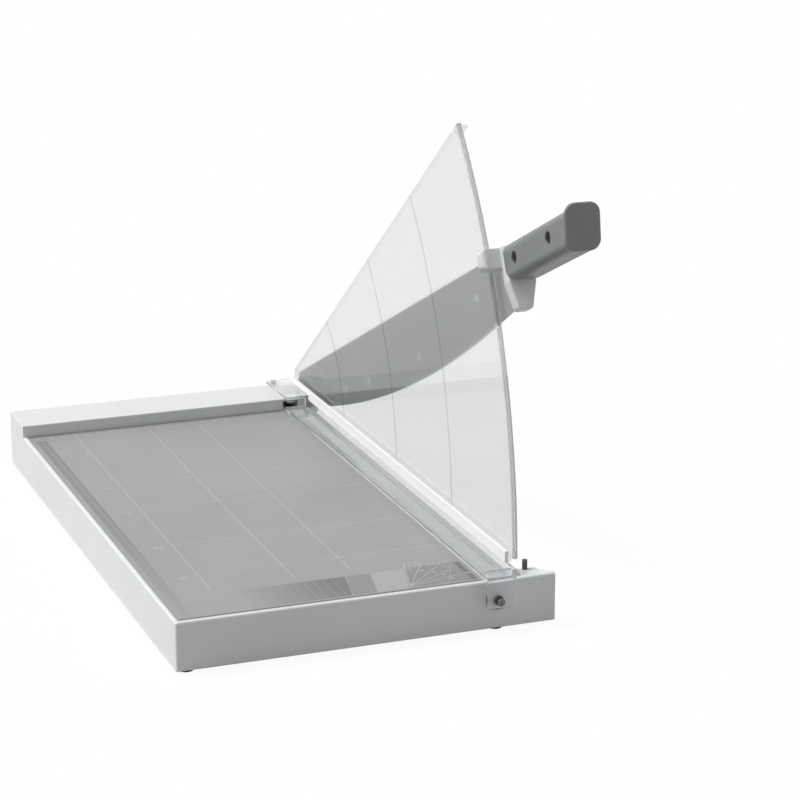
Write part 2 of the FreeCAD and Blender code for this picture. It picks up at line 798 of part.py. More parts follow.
# Handle
def handle_section(u, top, bottom, inset, lean=0.0):
    """A rounded rectangle across the handle, whose middle height is at u, leaning forward at the top."""
    half = handle_width / 2 - inset
    corner = max(handle_corner - inset, 0.5)
    bend = corner * (1 - math.sqrt(0.5))
    x0 = handle_middle - half
    x1 = handle_middle + half
    v0 = bottom + inset
    v1 = top - inset
    middle = (top + bottom) / 2

    def at(x, v):
        return arm_point(u + lean * (v - middle), v, x)

    edges = [
        Part.makeLine(at(x0 + corner, v0), at(x1 - corner, v0)),
        Part.Arc(at(x1 - corner, v0), at(x1 - bend, v0 + bend), at(x1, v0 + corner)).toShape(),
        Part.makeLine(at(x1, v0 + corner), at(x1, v1 - corner)),
        Part.Arc(at(x1, v1 - corner), at(x1 - bend, v1 - bend), at(x1 - corner, v1)).toShape(),
        Part.makeLine(at(x1 - corner, v1), at(x0 + corner, v1)),
        Part.Arc(at(x0 + corner, v1), at(x0 + bend, v1 - bend), at(x0, v1 - corner)).toShape(),
        Part.makeLine(at(x0, v1 - corner), at(x0, v0 + corner)),
        Part.Arc(at(x0, v0 + corner), at(x0 + bend, v0 + bend), at(x0 + corner, v0)).toShape(),
    ]
    return Part.Wire(edges)


def handle_body():
    end = handle_start + handle_length
    soft = handle_end_round
    flare = handle_end_flare
    top = handle_end_top - flare
    bottom = handle_end_bottom + flare
    sections = [
        handle_section(handle_start, handle_rear_top, handle_rear_bottom, 0),
        handle_section(end - handle_flare_length, handle_neck_top, handle_neck_bottom, 0, handle_end_lean),
        handle_section(end - soft, top, bottom, -flare, handle_end_lean),
        handle_section(end, top, bottom, soft - flare, handle_end_lean),
    ]
    body = Part.makeLoft(sections, True, True)
    heel = handle_heel_round
    low = handle_rear_bottom - 3
    block = arm_box(handle_start - 1, handle_start + heel, low, handle_rear_bottom + heel,
                    handle_middle - handle_width, handle_middle + handle_width)
    keep = arm_rod(heel, handle_start + heel, handle_rear_bottom + heel,
                   handle_middle - handle_width, handle_middle + handle_width)
    return body.cut(block.cut(keep))


def handle_shell(side):
    """Half of the grip, left for side -1 and right for side +1."""
    wide = handle_width
    x0 = handle_middle if side > 0 else handle_middle - wide
    half = arm_box(handle_start - 5, handle_start + handle_length + wide, -wide, 2 * wide, x0, x0 + wide)
    pocket = arm_box(end_block_near - 2, end_block_near + tang_length + easy, tang_bottom - easy, tang_top + easy,
                     tang_x0 - easy, tang_x1 + easy)
    cuts = [pocket]
    outer = handle_middle - handle_width / 2
    for place in handle_screw_places:
        u = handle_start + place
        v = handle_screw_height
        cuts.append(arm_rod(handle_recess_radius, u, v, outer - 1, outer + handle_recess_depth))
        cuts.append(arm_rod(guide_screw_radius + running, u, v, outer, tang_x1 + insert_length + 1))
        cuts.append(arm_rod(insert_radius + running, u, v, tang_x1, tang_x1 + insert_length))
    return handle_body().common(half).cut(Part.makeCompound(cuts))


def handle_screw(place):
    u = handle_start + place
    v = handle_screw_height
    seat = handle_middle - handle_width / 2 + handle_recess_depth
    head = arm_rod(handle_screw_head, u, v, seat - guide_head_height, seat)
    shank = arm_rod(guide_screw_radius, u, v, seat - guide_head_height / 2, tang_x1 + insert_length)
    low = seat - guide_head_height / 2
    thin = drive_width / 2
    cross = [arm_box(u - drive_half, u + drive_half, v - thin, v + thin, seat - 2 * guide_head_height, low),
             arm_box(u - thin, u + thin, v - drive_half, v + drive_half, seat - 2 * guide_head_height, low)]
    return fuse(head, shank).cut(Part.makeCompound(cross))


def handle_insert(place):
    u = handle_start + place
    start = tuple(arm_point(u, handle_screw_height, tang_x1 + easy))
    end = tuple(arm_point(u, handle_screw_height, tang_x1 + insert_length))
    return ring(insert_radius, guide_screw_radius + running, start, end)


# Clamp and guard
def over_rail():
    """The space under the plate that the rail needs."""
    return box(clamp_left - 1, clamp_right + 1, bar_far, far, clamp_bottom - 5, plate_bottom)


def clamp_bar():
    """The clear bar: a flat strip over the board, a low wall on its right, a leg, a riser and a plate."""
    flat_top = clamp_bottom + flat_thickness
    flat = box(clamp_left, clamp_right, leg_near, bar_far, clamp_bottom, flat_top)
    edge = [e for e in flat.Edges if e.BoundBox.YLength > bar_far - leg_near - 1
            and abs(e.BoundBox.XMin - clamp_left) < 1e-6 and abs(e.BoundBox.ZMin - flat_top) < 1e-6]
    flat = flat.makeFillet(flat_edge_round, edge)
    wall = box(clamp_right - rib_width, clamp_right, leg_near, bar_far, clamp_bottom, clamp_top)
    leg = box(clamp_left, clamp_right - leg_inset, leg_near, leg_near + leg_thickness, leg_bottom, clamp_top)
    corners = [e for e in leg.Edges if e.BoundBox.YLength > leg_thickness * 0.9
               and abs(e.BoundBox.ZMin - leg_bottom) < 1e-6]
    leg = leg.makeFillet(leg_corner, corners)
    riser = box(clamp_right - riser_width, clamp_right, bar_far - riser_thickness, bar_far, clamp_bottom, plate_top)
    plate = box(clamp_left, clamp_right, bar_far - riser_thickness, plate_far, plate_bottom, plate_top)
    body = flat.multiFuse([wall, leg, riser, plate]).cut(over_rail())
    cuts = [rod(guide_screw_radius + running, (leg_middle, leg_near - 1, guide_screw_height),
                (leg_middle, near, guide_screw_height)),
            rod(guide_screw_radius + running, (rear_guide_x, rear_guide_y, plate_bottom - 1),
                (rear_guide_x, rear_guide_y, plate_top + 1))]
    return body.cut(Part.makeCompound(cuts)).removeSplitter()


def guard_rib():
    """The white strip that stands on the bar along the foot of the guard."""
    rib = box(clamp_right - rib_width, clamp_right, near + rib_start, far - guard_back_gap + rib_past_guard,
              clamp_top, rib_top)
    return rib.cut(over_rail()).cut(clamp_bar())


def guard_point(radius, angle, x):
    """A point on the guard at a radius from the pivot and an angle above the level."""
    turn = math.radians(angle)
    return V(x, pivot_y - radius * math.cos(turn), pivot_height + radius * math.sin(turn))


def guard_edge_point(along, offset, x):
    """A point near the guard's straight upper edge, measured along it and square to it."""
    turn = math.radians(guard_edge_angle)
    y = pivot_y - along * math.cos(turn) + offset * math.sin(turn)
    z = pivot_height + along * math.sin(turn) + offset * math.cos(turn)
    return V(x, y, z)


def foot_angle(radius):
    return math.degrees(math.asin((guard_foot_height - pivot_height) / radius))


def tip_angle(radius):
    return guard_edge_angle + math.degrees(math.asin(guard_edge_offset / radius))


def blade_guard():
    x = guard_x
    foot_at = guard_point(panel_radius, foot_angle(panel_radius), x)
    tip = guard_point(panel_radius, tip_angle(panel_radius), x)
    middle = guard_point(panel_radius, (foot_angle(panel_radius) + tip_angle(panel_radius)) / 2, x)
    back_y = far - guard_back_gap
    turn = math.radians(guard_edge_angle)
    line_z = pivot_height + guard_edge_offset / math.cos(turn) - (back_y - pivot_y) * math.tan(turn)
    corner = V(x, back_y, line_z)
    step_y = bar_far - riser_thickness
    points = [tip, corner, V(x, back_y, plate_bottom), V(x, step_y, plate_bottom), V(x, step_y, clamp_top),
              V(x, near + rib_start, clamp_top), V(x, near + rib_start, guard_foot_height), foot_at]
    edges = [Part.makeLine(points[i], points[i + 1]) for i in range(len(points) - 1)]
    edges.append(Part.Arc(foot_at, middle, tip).toShape())
    panel = prism_x(edges, x, guard_right)
    back = [e for e in panel.Edges if e.BoundBox.XLength > guard_thickness * 0.9
            and abs(e.BoundBox.YMin - back_y) < 1e-6 and abs(e.BoundBox.ZMin - line_z) < 1e-6]
    panel = panel.makeFillet(guard_back_round, back)
    grooves = [ring(radius + groove_width / 2, radius - groove_width / 2, (x - 1, pivot_y, pivot_height),
                    (x + groove_depth, pivot_y, pivot_height)) for radius in groove_radii]
    end = math.sqrt(panel_radius ** 2 - guard_edge_offset ** 2)
    low = guard_edge_offset - tab_depth
    tab_corners = [(end - tab_length, low), (end, low), (end, guard_edge_offset),
                   (end - tab_length, guard_edge_offset)]
    tab_points = [guard_edge_point(a, b, guard_right) for a, b in tab_corners]
    tab = Part.Face(Part.makePolygon(tab_points + tab_points[:1])).extrude(V(tab_reach, 0, 0))
    return panel.cut(Part.makeCompound(grooves)).fuse(tab).removeSplitter()


def guard_edge_bead():
    """The thick rim on the guard's round edge."""
    x0 = guard_x + guard_thickness / 2 - bead_width / 2
    start = foot_angle(guard_radius)
    end = tip_angle(guard_radius)
    whole = ring(guard_radius, panel_radius + glue, (x0, pivot_y, pivot_height), (x0 + bead_width, pivot_y, pivot_height))
    reach = guard_radius * 1.2
    middle = (start + end) / 2
    wedge = [V(x0 - 1, pivot_y, pivot_height), guard_point(reach, start, x0 - 1),
             guard_point(reach * 1.2, middle, x0 - 1), guard_point(reach, end, x0 - 1)]
    keep = Part.Face(Part.makePolygon(wedge + wedge[:1])).extrude(V(bead_width + 2, 0, 0))
    return whole.common(keep)


def clamp_screw_front():
    z = guide_screw_height
    y_head = leg_near
    head = rod(guide_head_radius, (leg_middle, y_head - guide_head_height, z), (leg_middle, y_head, z))
    rim = [e for e in head.Edges if abs(e.BoundBox.YMax - (y_head - guide_head_height)) < 1e-6]
    head = head.makeFillet(guide_head_height / 2, rim)
    shank = rod(guide_screw_radius, (leg_middle, y_head - guide_head_height / 2, z),
                (leg_middle, near + front_thickness + guide_screw_grip, z))
    spacer = rod(guide_screw_radius + spacer_wall, (leg_middle, leg_near + leg_thickness, z), (leg_middle, near - easy, z))
    groove = box(leg_middle - drive_width / 2, leg_middle + drive_width / 2, y_head - 2 * guide_head_height,
                 y_head - guide_head_height / 2, z - drive_half, z + drive_half)
    return fuse(head, shank, spacer).cut(groove)


def slider(x, y0, y1, spring_y):
    """A nylon block inside the housing that a lift spring pushes up."""
    block = box(x - slider_width / 2, x + slider_width / 2, y0, y1, slider_bottom, slider_top)
    seat = rod(spring_radius + spring_wire, (x, spring_y, slider_bottom - 1), (x, spring_y, slider_bottom + 1))
    return block.cut(seat)


def clamp_slider_front():
    y0 = near + front_thickness + easy
    block = slider(leg_middle, y0, y0 + slider_length_front, near + front_spring_place)
    hole = rod(guide_screw_radius + running, (leg_middle, y0 - 1, guide_screw_height),
               (leg_middle, near + front_thickness + guide_screw_grip + easy, guide_screw_height))
    return block.cut(hole)


def clamp_slider_rear():
    y1 = far - housing_wall - easy
    block = slider(rear_guide_x, y1 - slider_length_rear, y1, rear_spring_y)
    hole = rod(guide_screw_radius + running, (rear_guide_x, rear_guide_y, slider_bottom + 3),
               (rear_guide_x, rear_guide_y, slider_top + 1))
    return block.cut(hole)


def clamp_screw_rear():
    head = rod(rear_head_radius, (rear_guide_x, rear_guide_y, plate_top),
               (rear_guide_x, rear_guide_y, plate_top + rear_head_height))
    shank = rod(guide_screw_radius, (rear_guide_x, rear_guide_y, slider_bottom + 3),
                (rear_guide_x, rear_guide_y, plate_top + rear_head_height / 2))
    groove = box(rear_guide_x - drive_width / 2, rear_guide_x + drive_width / 2, rear_guide_y - drive_half,
                 rear_guide_y + drive_half, plate_top + rear_head_height / 2, plate_top + 2 * rear_head_height)
    return fuse(head, shank).cut(groove)


def lift_spring(x, y):
    """A coil between the bottom cover and a slider, wound from quarter-turn arcs."""
    low = cover_plate + spring_wire / 2 + 0.05
    high = slider_bottom + 1 - spring_wire / 2 - 0.05
    quarters = spring_turns * 4

    def at(step):
        turn = step * math.pi / 2
        rise = low + (high - low) * step / quarters
        return V(x + spring_radius * math.cos(turn), y + spring_radius * math.sin(turn), rise)

    edges = [Part.Arc(at(i), at(i + 0.5), at(i + 1)).toShape() for i in range(quarters)]
    path = Part.Wire(edges)
    start = at(0)
    section = Part.Wire(Part.makeCircle(spring_wire / 2, start, edges[0].tangentAt(edges[0].FirstParameter)))
    return path.makePipeShell([section], True, False)


def nodes():
    """Every sub-part by name."""
    parts = {
        "base_housing": base_housing(),
        "front_panel": front_panel(),
        "cutting_board": cutting_board(),
        "bottom_cover": bottom_cover(),
        "paper_stop_rail": paper_stop_rail(),
        "fixed_blade": fixed_blade(),
        "pivot_block": pivot_block(),
        "pivot_bolt": pivot_bolt(),
        "pivot_nut": ring(nut_radius, thread_radius + running, (block_left - nut_length, pivot_y, pivot_height),
                          (block_left, pivot_y, pivot_height)),
        "thrust_washer": pivot_ring(thrust_washer_radius, block_right, cut_x),
        "outer_washer": pivot_ring(outer_washer_radius, bar_right, bar_right + outer_washer_thickness),
        "disc_spring": pivot_ring(outer_washer_radius - 1, bar_right + outer_washer_thickness,
                                  bar_right + outer_washer_thickness + disc_spring_thickness),
        "arm_buffer": arm_buffer(),
        "lift_spring_front": lift_spring(leg_middle, near + front_spring_place),
        "lift_spring_rear": lift_spring(rear_guide_x, rear_spring_y),
        "clamp_bar": clamp_bar(),
        "blade_guard": blade_guard(),
        "guard_edge_bead": guard_edge_bead(),
        "guard_rib": guard_rib(),
        "clamp_screw_front": clamp_screw_front(),
        "clamp_screw_rear": clamp_screw_rear(),
        "clamp_slider_front": clamp_slider_front(),
        "clamp_slider_rear": clamp_slider_rear(),
        "arm_casting": arm_casting(),
        "blade": blade(),
        "pivot_bush": ring(bush_radius - running, shoulder_radius + running,
                           (cut_x + easy, pivot_y, pivot_height), (bar_right - easy, pivot_y, pivot_height)),
        "handle_left_shell": handle_shell(-1),
        "handle_right_shell": handle_shell(1),
        "handle_inserts": Part.makeCompound([handle_insert(place) for place in handle_screw_places]),
        "handle_screws": Part.makeCompound([handle_screw(place) for place in handle_screw_places]),
        "blade_screws": Part.makeCompound([blade_screw(place) for place in blade_screw_places]),
        "foot_screws": Part.makeCompound([foot_screw(place) for place in foot_places.values()]),
        "cover_screws": Part.makeCompound([cover_screw(place) for place in cover_screw_places]),
        "rail_screws": Part.makeCompound([rail_screw(place) for place in rail_screw_places()]),
        "front_panel_screws": Part.makeCompound([front_panel_screw(place) for place in front_screw_places()]),
        "fixed_blade_screws": Part.makeCompound([
            countersunk(cut_x - cut_gap, y, fixed_screw_height(), right - housing_wall - 3)
            for y in fixed_screw_places()]),
        "fixed_blade_nuts": Part.makeCompound([wall_nut(y, fixed_screw_height()) for y in fixed_screw_places()]),
        "pivot_block_screws": Part.makeCompound([
            countersunk(block_right, flange_screw_y(), z, right - housing_wall - 3)
            for z in flange_screw_heights]),
        "pivot_block_nuts": Part.makeCompound([wall_nut(flange_screw_y(), z) for z in flange_screw_heights]),
    }
    for number, share in enumerate(stiffener_shares, start=1):
        parts["stiffener_%d" % number] = stiffener(share)
    for name, place in foot_places.items():
        parts["foot_" + name] = foot(place)
    return parts


def to_table_frame():
    """The move that puts the origin on the table under the middle of the whole outline."""
    angle = math.radians(arm_rest)
    v = handle_end_bottom + handle_end_round
    u = handle_start + handle_length + handle_end_lean * (v - (handle_end_top + handle_end_bottom) / 2)
    handle_tip = pivot_y - u * math.cos(angle) + v * math.sin(angle)
    return V(-(left + front_right) / 2, -(handle_tip + far) / 2, foot_height)


os.makedirs("parts", exist_ok=True)
move = to_table_frame()
print("moved by", [round(c, 4) for c in move])
for name, shape in nodes().items():
    shape.translate(move)
    shape.exportStep("parts/" + name + ".step")
    print(name, len(shape.Solids), "solid" if len(shape.Solids) == 1 else "solids", round(shape.Volume, 1),
          "valid" if shape.isValid() else "NOT VALID")
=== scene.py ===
# %% [markdown]
# # A desk paper trimmer, dressed for the studio
#
# The trimmer has a folded steel housing with a printed board let into its top, a clear clamp bar with a
# tall clear blade guard, and a long knife on an arm with a dark two-shell grip. Its exact solids come from
# the construction model. This lesson gives them the finishes of the real object, and adds the thin
# things that a construction model leaves out: printed scales, a seam round the board and a small pad.
#
# Everything is in metres, with the table at height zero, the user at low y and the knife on the right.

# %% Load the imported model
import json
import math

import bpy
import numpy as np
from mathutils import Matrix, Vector

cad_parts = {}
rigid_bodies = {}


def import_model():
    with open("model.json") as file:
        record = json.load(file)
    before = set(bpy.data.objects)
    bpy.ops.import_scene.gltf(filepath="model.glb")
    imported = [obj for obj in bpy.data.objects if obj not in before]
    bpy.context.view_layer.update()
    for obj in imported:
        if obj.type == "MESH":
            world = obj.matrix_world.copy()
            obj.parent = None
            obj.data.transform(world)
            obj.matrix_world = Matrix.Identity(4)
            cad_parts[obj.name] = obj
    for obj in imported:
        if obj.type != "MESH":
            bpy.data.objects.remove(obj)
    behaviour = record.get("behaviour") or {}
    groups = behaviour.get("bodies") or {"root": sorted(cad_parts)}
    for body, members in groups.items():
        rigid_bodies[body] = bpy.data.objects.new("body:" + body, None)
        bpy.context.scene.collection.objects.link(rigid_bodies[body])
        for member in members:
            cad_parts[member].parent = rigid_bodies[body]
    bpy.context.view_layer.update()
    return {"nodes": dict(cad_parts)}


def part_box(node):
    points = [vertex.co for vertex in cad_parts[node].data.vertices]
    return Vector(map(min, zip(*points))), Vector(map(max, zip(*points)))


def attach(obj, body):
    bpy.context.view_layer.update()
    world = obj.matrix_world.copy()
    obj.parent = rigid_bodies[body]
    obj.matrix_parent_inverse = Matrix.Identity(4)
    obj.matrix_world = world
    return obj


for left_over in list(bpy.data.objects):
    bpy.data.objects.remove(left_over)

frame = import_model()
nodes = frame["nodes"]

# %% [markdown]
# ## The camera
#
# The picture was taken from the front left and a little above, from almost two metres away, which keeps
# the edges of the housing nearly parallel. A camera is known by where it stands, how far it is turned and
# tipped, and how strongly it enlarges. The place is counted from the housing's near left bottom corner,
# so it stays right if the object's origin moves.

# %% Set up the camera
camera_from_corner = Vector((-0.4587, -1.6506, 0.6984))
camera_turn = math.radians(20.734)
camera_tip = math.radians(16.504)
focal_pixels = 2693.46
picture_pixels = 800.0
sensor_width = 36.0
centre_right_of_middle = 4.6
centre_below_middle = 0.6
nearest_seen = 0.05
farthest_seen = 50.0

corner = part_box("front_panel")[0]
camera_data = bpy.data.cameras.new("studio_camera")
camera_data.sensor_width = sensor_width
camera_data.lens = focal_pixels / picture_pixels * sensor_width
camera_data.shift_x = -centre_right_of_middle / picture_pixels
camera_data.shift_y = centre_below_middle / picture_pixels
camera_data.clip_start = nearest_seen
camera_data.clip_end = farthest_seen
camera = bpy.data.objects.new("studio_camera", camera_data)
bpy.context.scene.collection.objects.link(camera)
camera.location = corner + camera_from_corner
camera.rotation_euler = (math.pi / 2 - camera_tip, 0.0, -camera_turn)
bpy.context.scene.camera = camera
bpy.context.scene.view_settings.view_transform = "Standard"
print("lens", round(camera_data.lens, 1), "mm, standing at", [round(v, 3) for v in camera.location])

# %% [markdown]
# ## Light
#
# The housing's top and left side are bright and its front is in half shade, so the light comes from the
# upper left and slightly from behind. A wide sun lamp gives soft shadows at a known level. The world
# gives the even light of a white studio: it is plain white where the camera, a reflection or a ray
# through the clear plastic sees it, and dimmer as a light on the object.

# %% Light the studio
key_direction = Vector((-0.60, 0.26, 0.76))
key_strength = 2.65
key_spread = math.radians(28)
fill_direction = Vector((0.35, -0.75, 0.55))
fill_strength = 0.12
fill_spread = math.radians(60)


def soft_sun(name, towards, strength, spread):
    """A sun lamp whose light comes from the direction given, with a disc as wide as the spread."""
    lamp = bpy.data.lights.new(name, "SUN")
    lamp.energy = strength
    lamp.angle = spread
    lamp_object = bpy.data.objects.new(name, lamp)
    lamp_object.rotation_mode = "QUATERNION"
    lamp_object.rotation_quaternion = towards.to_track_quat("Z", "Y")
    bpy.context.scene.collection.objects.link(lamp_object)


soft_sun("key_light", key_direction, key_strength, key_spread)
soft_sun("fill_light", fill_direction, fill_strength, fill_spread)
print("key light", key_strength, "fill light", fill_strength)

# %% [markdown]
# The white that the camera sees has nothing to do with the light on the object. A Light Path node tells
# the two apart, in the world as well as in the floor. A ray that has already left a matt surface carries
# light, even if it then passes through the clear guard, so it must not meet the white of the background.

# %% Tell the rays that see from the rays that light
half_a_bounce = 0.5


def joined(tree, operation, first, second):
    """Two numbers joined by one sum, where the second may be a plain number."""
    step = tree.nodes.new("ShaderNodeMath")
    step.operation = operation
    tree.links.new(first, step.inputs[0])
    if isinstance(second, bpy.types.NodeSocket):
        tree.links.new(second, step.inputs[1])
    else:
        step.inputs[1].default_value = second
    return step.outputs[0]


def seen_directly(tree):
    """A socket that is 1 for camera, mirror and see-through rays and 0 for the rays that light things."""
    path = tree.nodes.new("ShaderNodeLightPath")
    seen = joined(tree, "MAXIMUM", path.outputs["Is Camera Ray"], path.outputs["Is Glossy Ray"])
    seen = joined(tree, "MAXIMUM", seen, path.outputs["Is Transmission Ray"])
    no_matt_bounce = joined(tree, "LESS_THAN", path.outputs["Diffuse Depth"], half_a_bounce)
    return joined(tree, "MULTIPLY", seen, no_matt_bounce)


# %% Mix two shaders or two colours
def mixed_shaders(tree, share, first, second):
    """One shader made of two, where the share, from 0 to 1, goes to the second."""
    mix = tree.nodes.new("ShaderNodeMixShader")
    tree.links.new(share, mix.inputs[0])
    tree.links.new(first, mix.inputs[1])
    tree.links.new(second, mix.inputs[2])
    return mix.outputs["Shader"]


def between(tree, factor, first, second):
    """A colour between two, each given as a socket or as red, green and blue."""
    mix = tree.nodes.new("ShaderNodeMix")
    mix.data_type = "RGBA"
    tree.links.new(factor, mix.inputs["Factor"])
    for socket, colour in ((mix.inputs["A"], first), (mix.inputs["B"], second)):
        if isinstance(colour, bpy.types.NodeSocket):
            tree.links.new(colour, socket)
        else:
            socket.default_value = (*colour, 1.0)
    return mix.outputs["Result"]


# %% Make the white studio world
white = (1.0, 1.0, 1.0)
seen_level = 1.0
world_tint = (0.97, 0.985, 1.0)
world_level = 0.34


def even_background(tree, colour, strength):
    """A world shader of one even colour."""
    background = tree.nodes.new("ShaderNodeBackground")
    background.inputs["Color"].default_value = (*colour, 1.0)
    background.inputs["Strength"].default_value = strength
    return background.outputs["Background"]


world = bpy.data.worlds.new("white_studio")
bpy.context.scene.world = world
world.use_nodes = True
world_tree = world.node_tree
world_tree.nodes.clear()
world_lighting = even_background(world_tree, world_tint, world_level)
world_seen = even_background(world_tree, white, seen_level)
world_shader = mixed_shaders(world_tree, seen_directly(world_tree), world_lighting, world_seen)
world_output = world_tree.nodes.new("ShaderNodeOutputWorld")
world_tree.links.new(world_shader, world_output.inputs["Surface"])
print("world light", world_level)

# %% [markdown]
# ## The floor
#
# The photograph's floor is pure white, with hardly a shadow. The floor's shader is mostly white for the
# rays that see it, and a share of plain diffuse keeps the soft shadow of the housing. For the rays that
# light the object it is a mid grey, so that it doesn't fill the shaded front with bounced light.

# %% Lay the floor
floor_half = 6.0

floor_mesh = bpy.data.meshes.new("studio_floor")
floor_corners = np.array([[-1, -1, 0], [1, -1, 0], [1, 1, 0], [-1, 1, 0]], float) * floor_half
floor_mesh.from_pydata(floor_corners.tolist(), [], [(0, 1, 2, 3)])
floor = bpy.data.objects.new("studio_floor", floor_mesh)
bpy.context.scene.collection.objects.link(floor)
print("floor", 2 * floor_half, "m square")

# %% Paint the floor
floor_white_share = 0.94
floor_bounce = 0.42

floor_paint = bpy.data.materials.new("white_floor")
floor_paint.use_nodes = True
floor_tree = floor_paint.node_tree
floor_tree.nodes.clear()
floor_seen = seen_directly(floor_tree)
floor_colour = between(floor_tree, floor_seen, (floor_bounce, floor_bounce, floor_bounce), white)
floor_diffuse = floor_tree.nodes.new("ShaderNodeBsdfDiffuse")
floor_tree.links.new(floor_colour, floor_diffuse.inputs["Color"])
floor_glow = floor_tree.nodes.new("ShaderNodeEmission")
floor_glow.inputs["Strength"].default_value = seen_level
floor_glow_share = joined(floor_tree, "MULTIPLY", floor_seen, floor_white_share)
floor_shader = mixed_shaders(
    floor_tree, floor_glow_share, floor_diffuse.outputs["BSDF"], floor_glow.outputs["Emission"])
floor_output = floor_tree.nodes.new("ShaderNodeOutputMaterial")
floor_tree.links.new(floor_shader, floor_output.inputs["Surface"])
floor_mesh.materials.append(floor_paint)
print("floor white by", floor_white_share)

# %% [markdown]
# ## How the finishes are made
#
# Every finish on this object has the same few layers. Its colour drifts a little from place to place, its
# gloss drifts too, a fine grain catches the light, and its edges take a colour of their own. That edge
# colour
# is partly wear and partly painted light: where it is paler it is a painted highlight along edges that
# catch the light, and where it is darker it is painted shade. All of them read Object coordinates, which
# for these pieces are metres in the shared frame, so one number gives the size of a speck on every piece.
# The edge layer compares the real normal with one that the Bevel node has rounded off: they differ only
# within the bevel's radius of an edge.


# %% Start a material and read its coordinates
def new_finish(name):
    """A new material, its node tree, its main shader and its Object coordinates."""
    finish = bpy.data.materials.new(name)
    finish.use_nodes = True
    tree = finish.node_tree
    shader = tree.nodes["Principled BSDF"]
    place = tree.nodes.new("ShaderNodeTexCoord").outputs["Object"]
    return finish, tree, shader, place


# %% Make noise of a real size
lump_width = 0.5
noise_low = 0.3
noise_high = 0.7


def specks(tree, place, size, detail=3.0):
    """Noise from 0 to 1 whose lumps are about the size given, in metres.

    At scale 1 a lump is about half a metre wide. Only the middle of the noise's range is used.
    """
    noise = tree.nodes.new("ShaderNodeTexNoise")
    noise.inputs["Scale"].default_value = lump_width / size
    noise.inputs["Detail"].default_value = detail
    spread = tree.nodes.new("ShaderNodeMapRange")
    spread.inputs["From Min"].default_value = noise_low
    spread.inputs["From Max"].default_value = noise_high
    tree.links.new(place, noise.inputs["Vector"])
    tree.links.new(noise.outputs["Fac"], spread.inputs["Value"])
    return spread.outputs["Result"]


def ranged(tree, factor, low, high):
    """A number from low to high as the factor goes from 0 to 1."""
    span = tree.nodes.new("ShaderNodeMapRange")
    span.inputs["To Min"].default_value = low
    span.inputs["To Max"].default_value = high
    tree.links.new(factor, span.inputs["Value"])
    return span.outputs["Result"]


# %% Find the edges and add a grain
bevel_samples = 6
flat_ground = 0.995
sharp_edge = 0.80
grain_strength = 0.6


def edges(tree, radius):
    """The rounded normal, and a mask that is 1 on sharp edges and 0 on flat ground."""
    rounded = tree.nodes.new("ShaderNodeBevel")
    rounded.samples = bevel_samples
    rounded.inputs["Radius"].default_value = radius
    flat = tree.nodes.new("ShaderNodeNewGeometry")
    product = tree.nodes.new("ShaderNodeVectorMath")
    product.operation = "DOT_PRODUCT"
    mask = tree.nodes.new("ShaderNodeMapRange")
    mask.inputs["From Min"].default_value = flat_ground
    mask.inputs["From Max"].default_value = sharp_edge
    tree.links.new(rounded.outputs["Normal"], product.inputs[0])
    tree.links.new(flat.outputs["Normal"], product.inputs[1])
    tree.links.new(product.outputs["Value"], mask.inputs["Value"])
    return rounded.outputs["Normal"], mask.outputs["Result"]


def grain(tree, height_of, depth, normal=None):
    """A bump of the depth given, in metres, over a normal."""
    bump = tree.nodes.new("ShaderNodeBump")
    bump.inputs["Strength"].default_value = grain_strength
    bump.inputs["Distance"].default_value = depth
    tree.links.new(height_of, bump.inputs["Height"])
    if normal is not None:
        tree.links.new(normal, bump.inputs["Normal"])
    return bump.outputs["Normal"]


# %% [markdown]
# One function lays these layers for most of the object: paint, cast metal, moulded plastic, rubber and
# plated steel differ only in their numbers.

# %% Lay the common layers
speck_wear = 0.12
edge_wear_and_light = 0.55


def layered_finish(name, colour, drift, wear_and_edge_shading, patch, gloss, speck, depth, edge=0.0006, metal=0.0):
    """Colour that drifts to another in patches, roughness within gloss, a grain, and edges in a wear
    colour that is also painted light.
    """
    finish, tree, shader, place = new_finish(name)
    shader.inputs["Metallic"].default_value = metal
    cloud = specks(tree, place, patch)
    fine = specks(tree, place, speck, detail=2.0)
    soft_normal, edge_mask = edges(tree, edge)
    shown_colour = between(tree, cloud, colour, drift)
    shown_colour = between(tree, ranged(tree, fine, 0.0, speck_wear), shown_colour, wear_and_edge_shading)
    # Edges take the edge colour: wear, together with a painted highlight where it is paler and painted
    # shade where it is darker.
    shown_colour = between(tree, ranged(tree, edge_mask, 0.0, edge_wear_and_light), shown_colour, wear_and_edge_shading)
    tree.links.new(shown_colour, shader.inputs["Base Color"])
    tree.links.new(ranged(tree, fine, *gloss), shader.inputs["Roughness"])
    tree.links.new(grain(tree, fine, depth, soft_normal), shader.inputs["Normal"])
    return finish


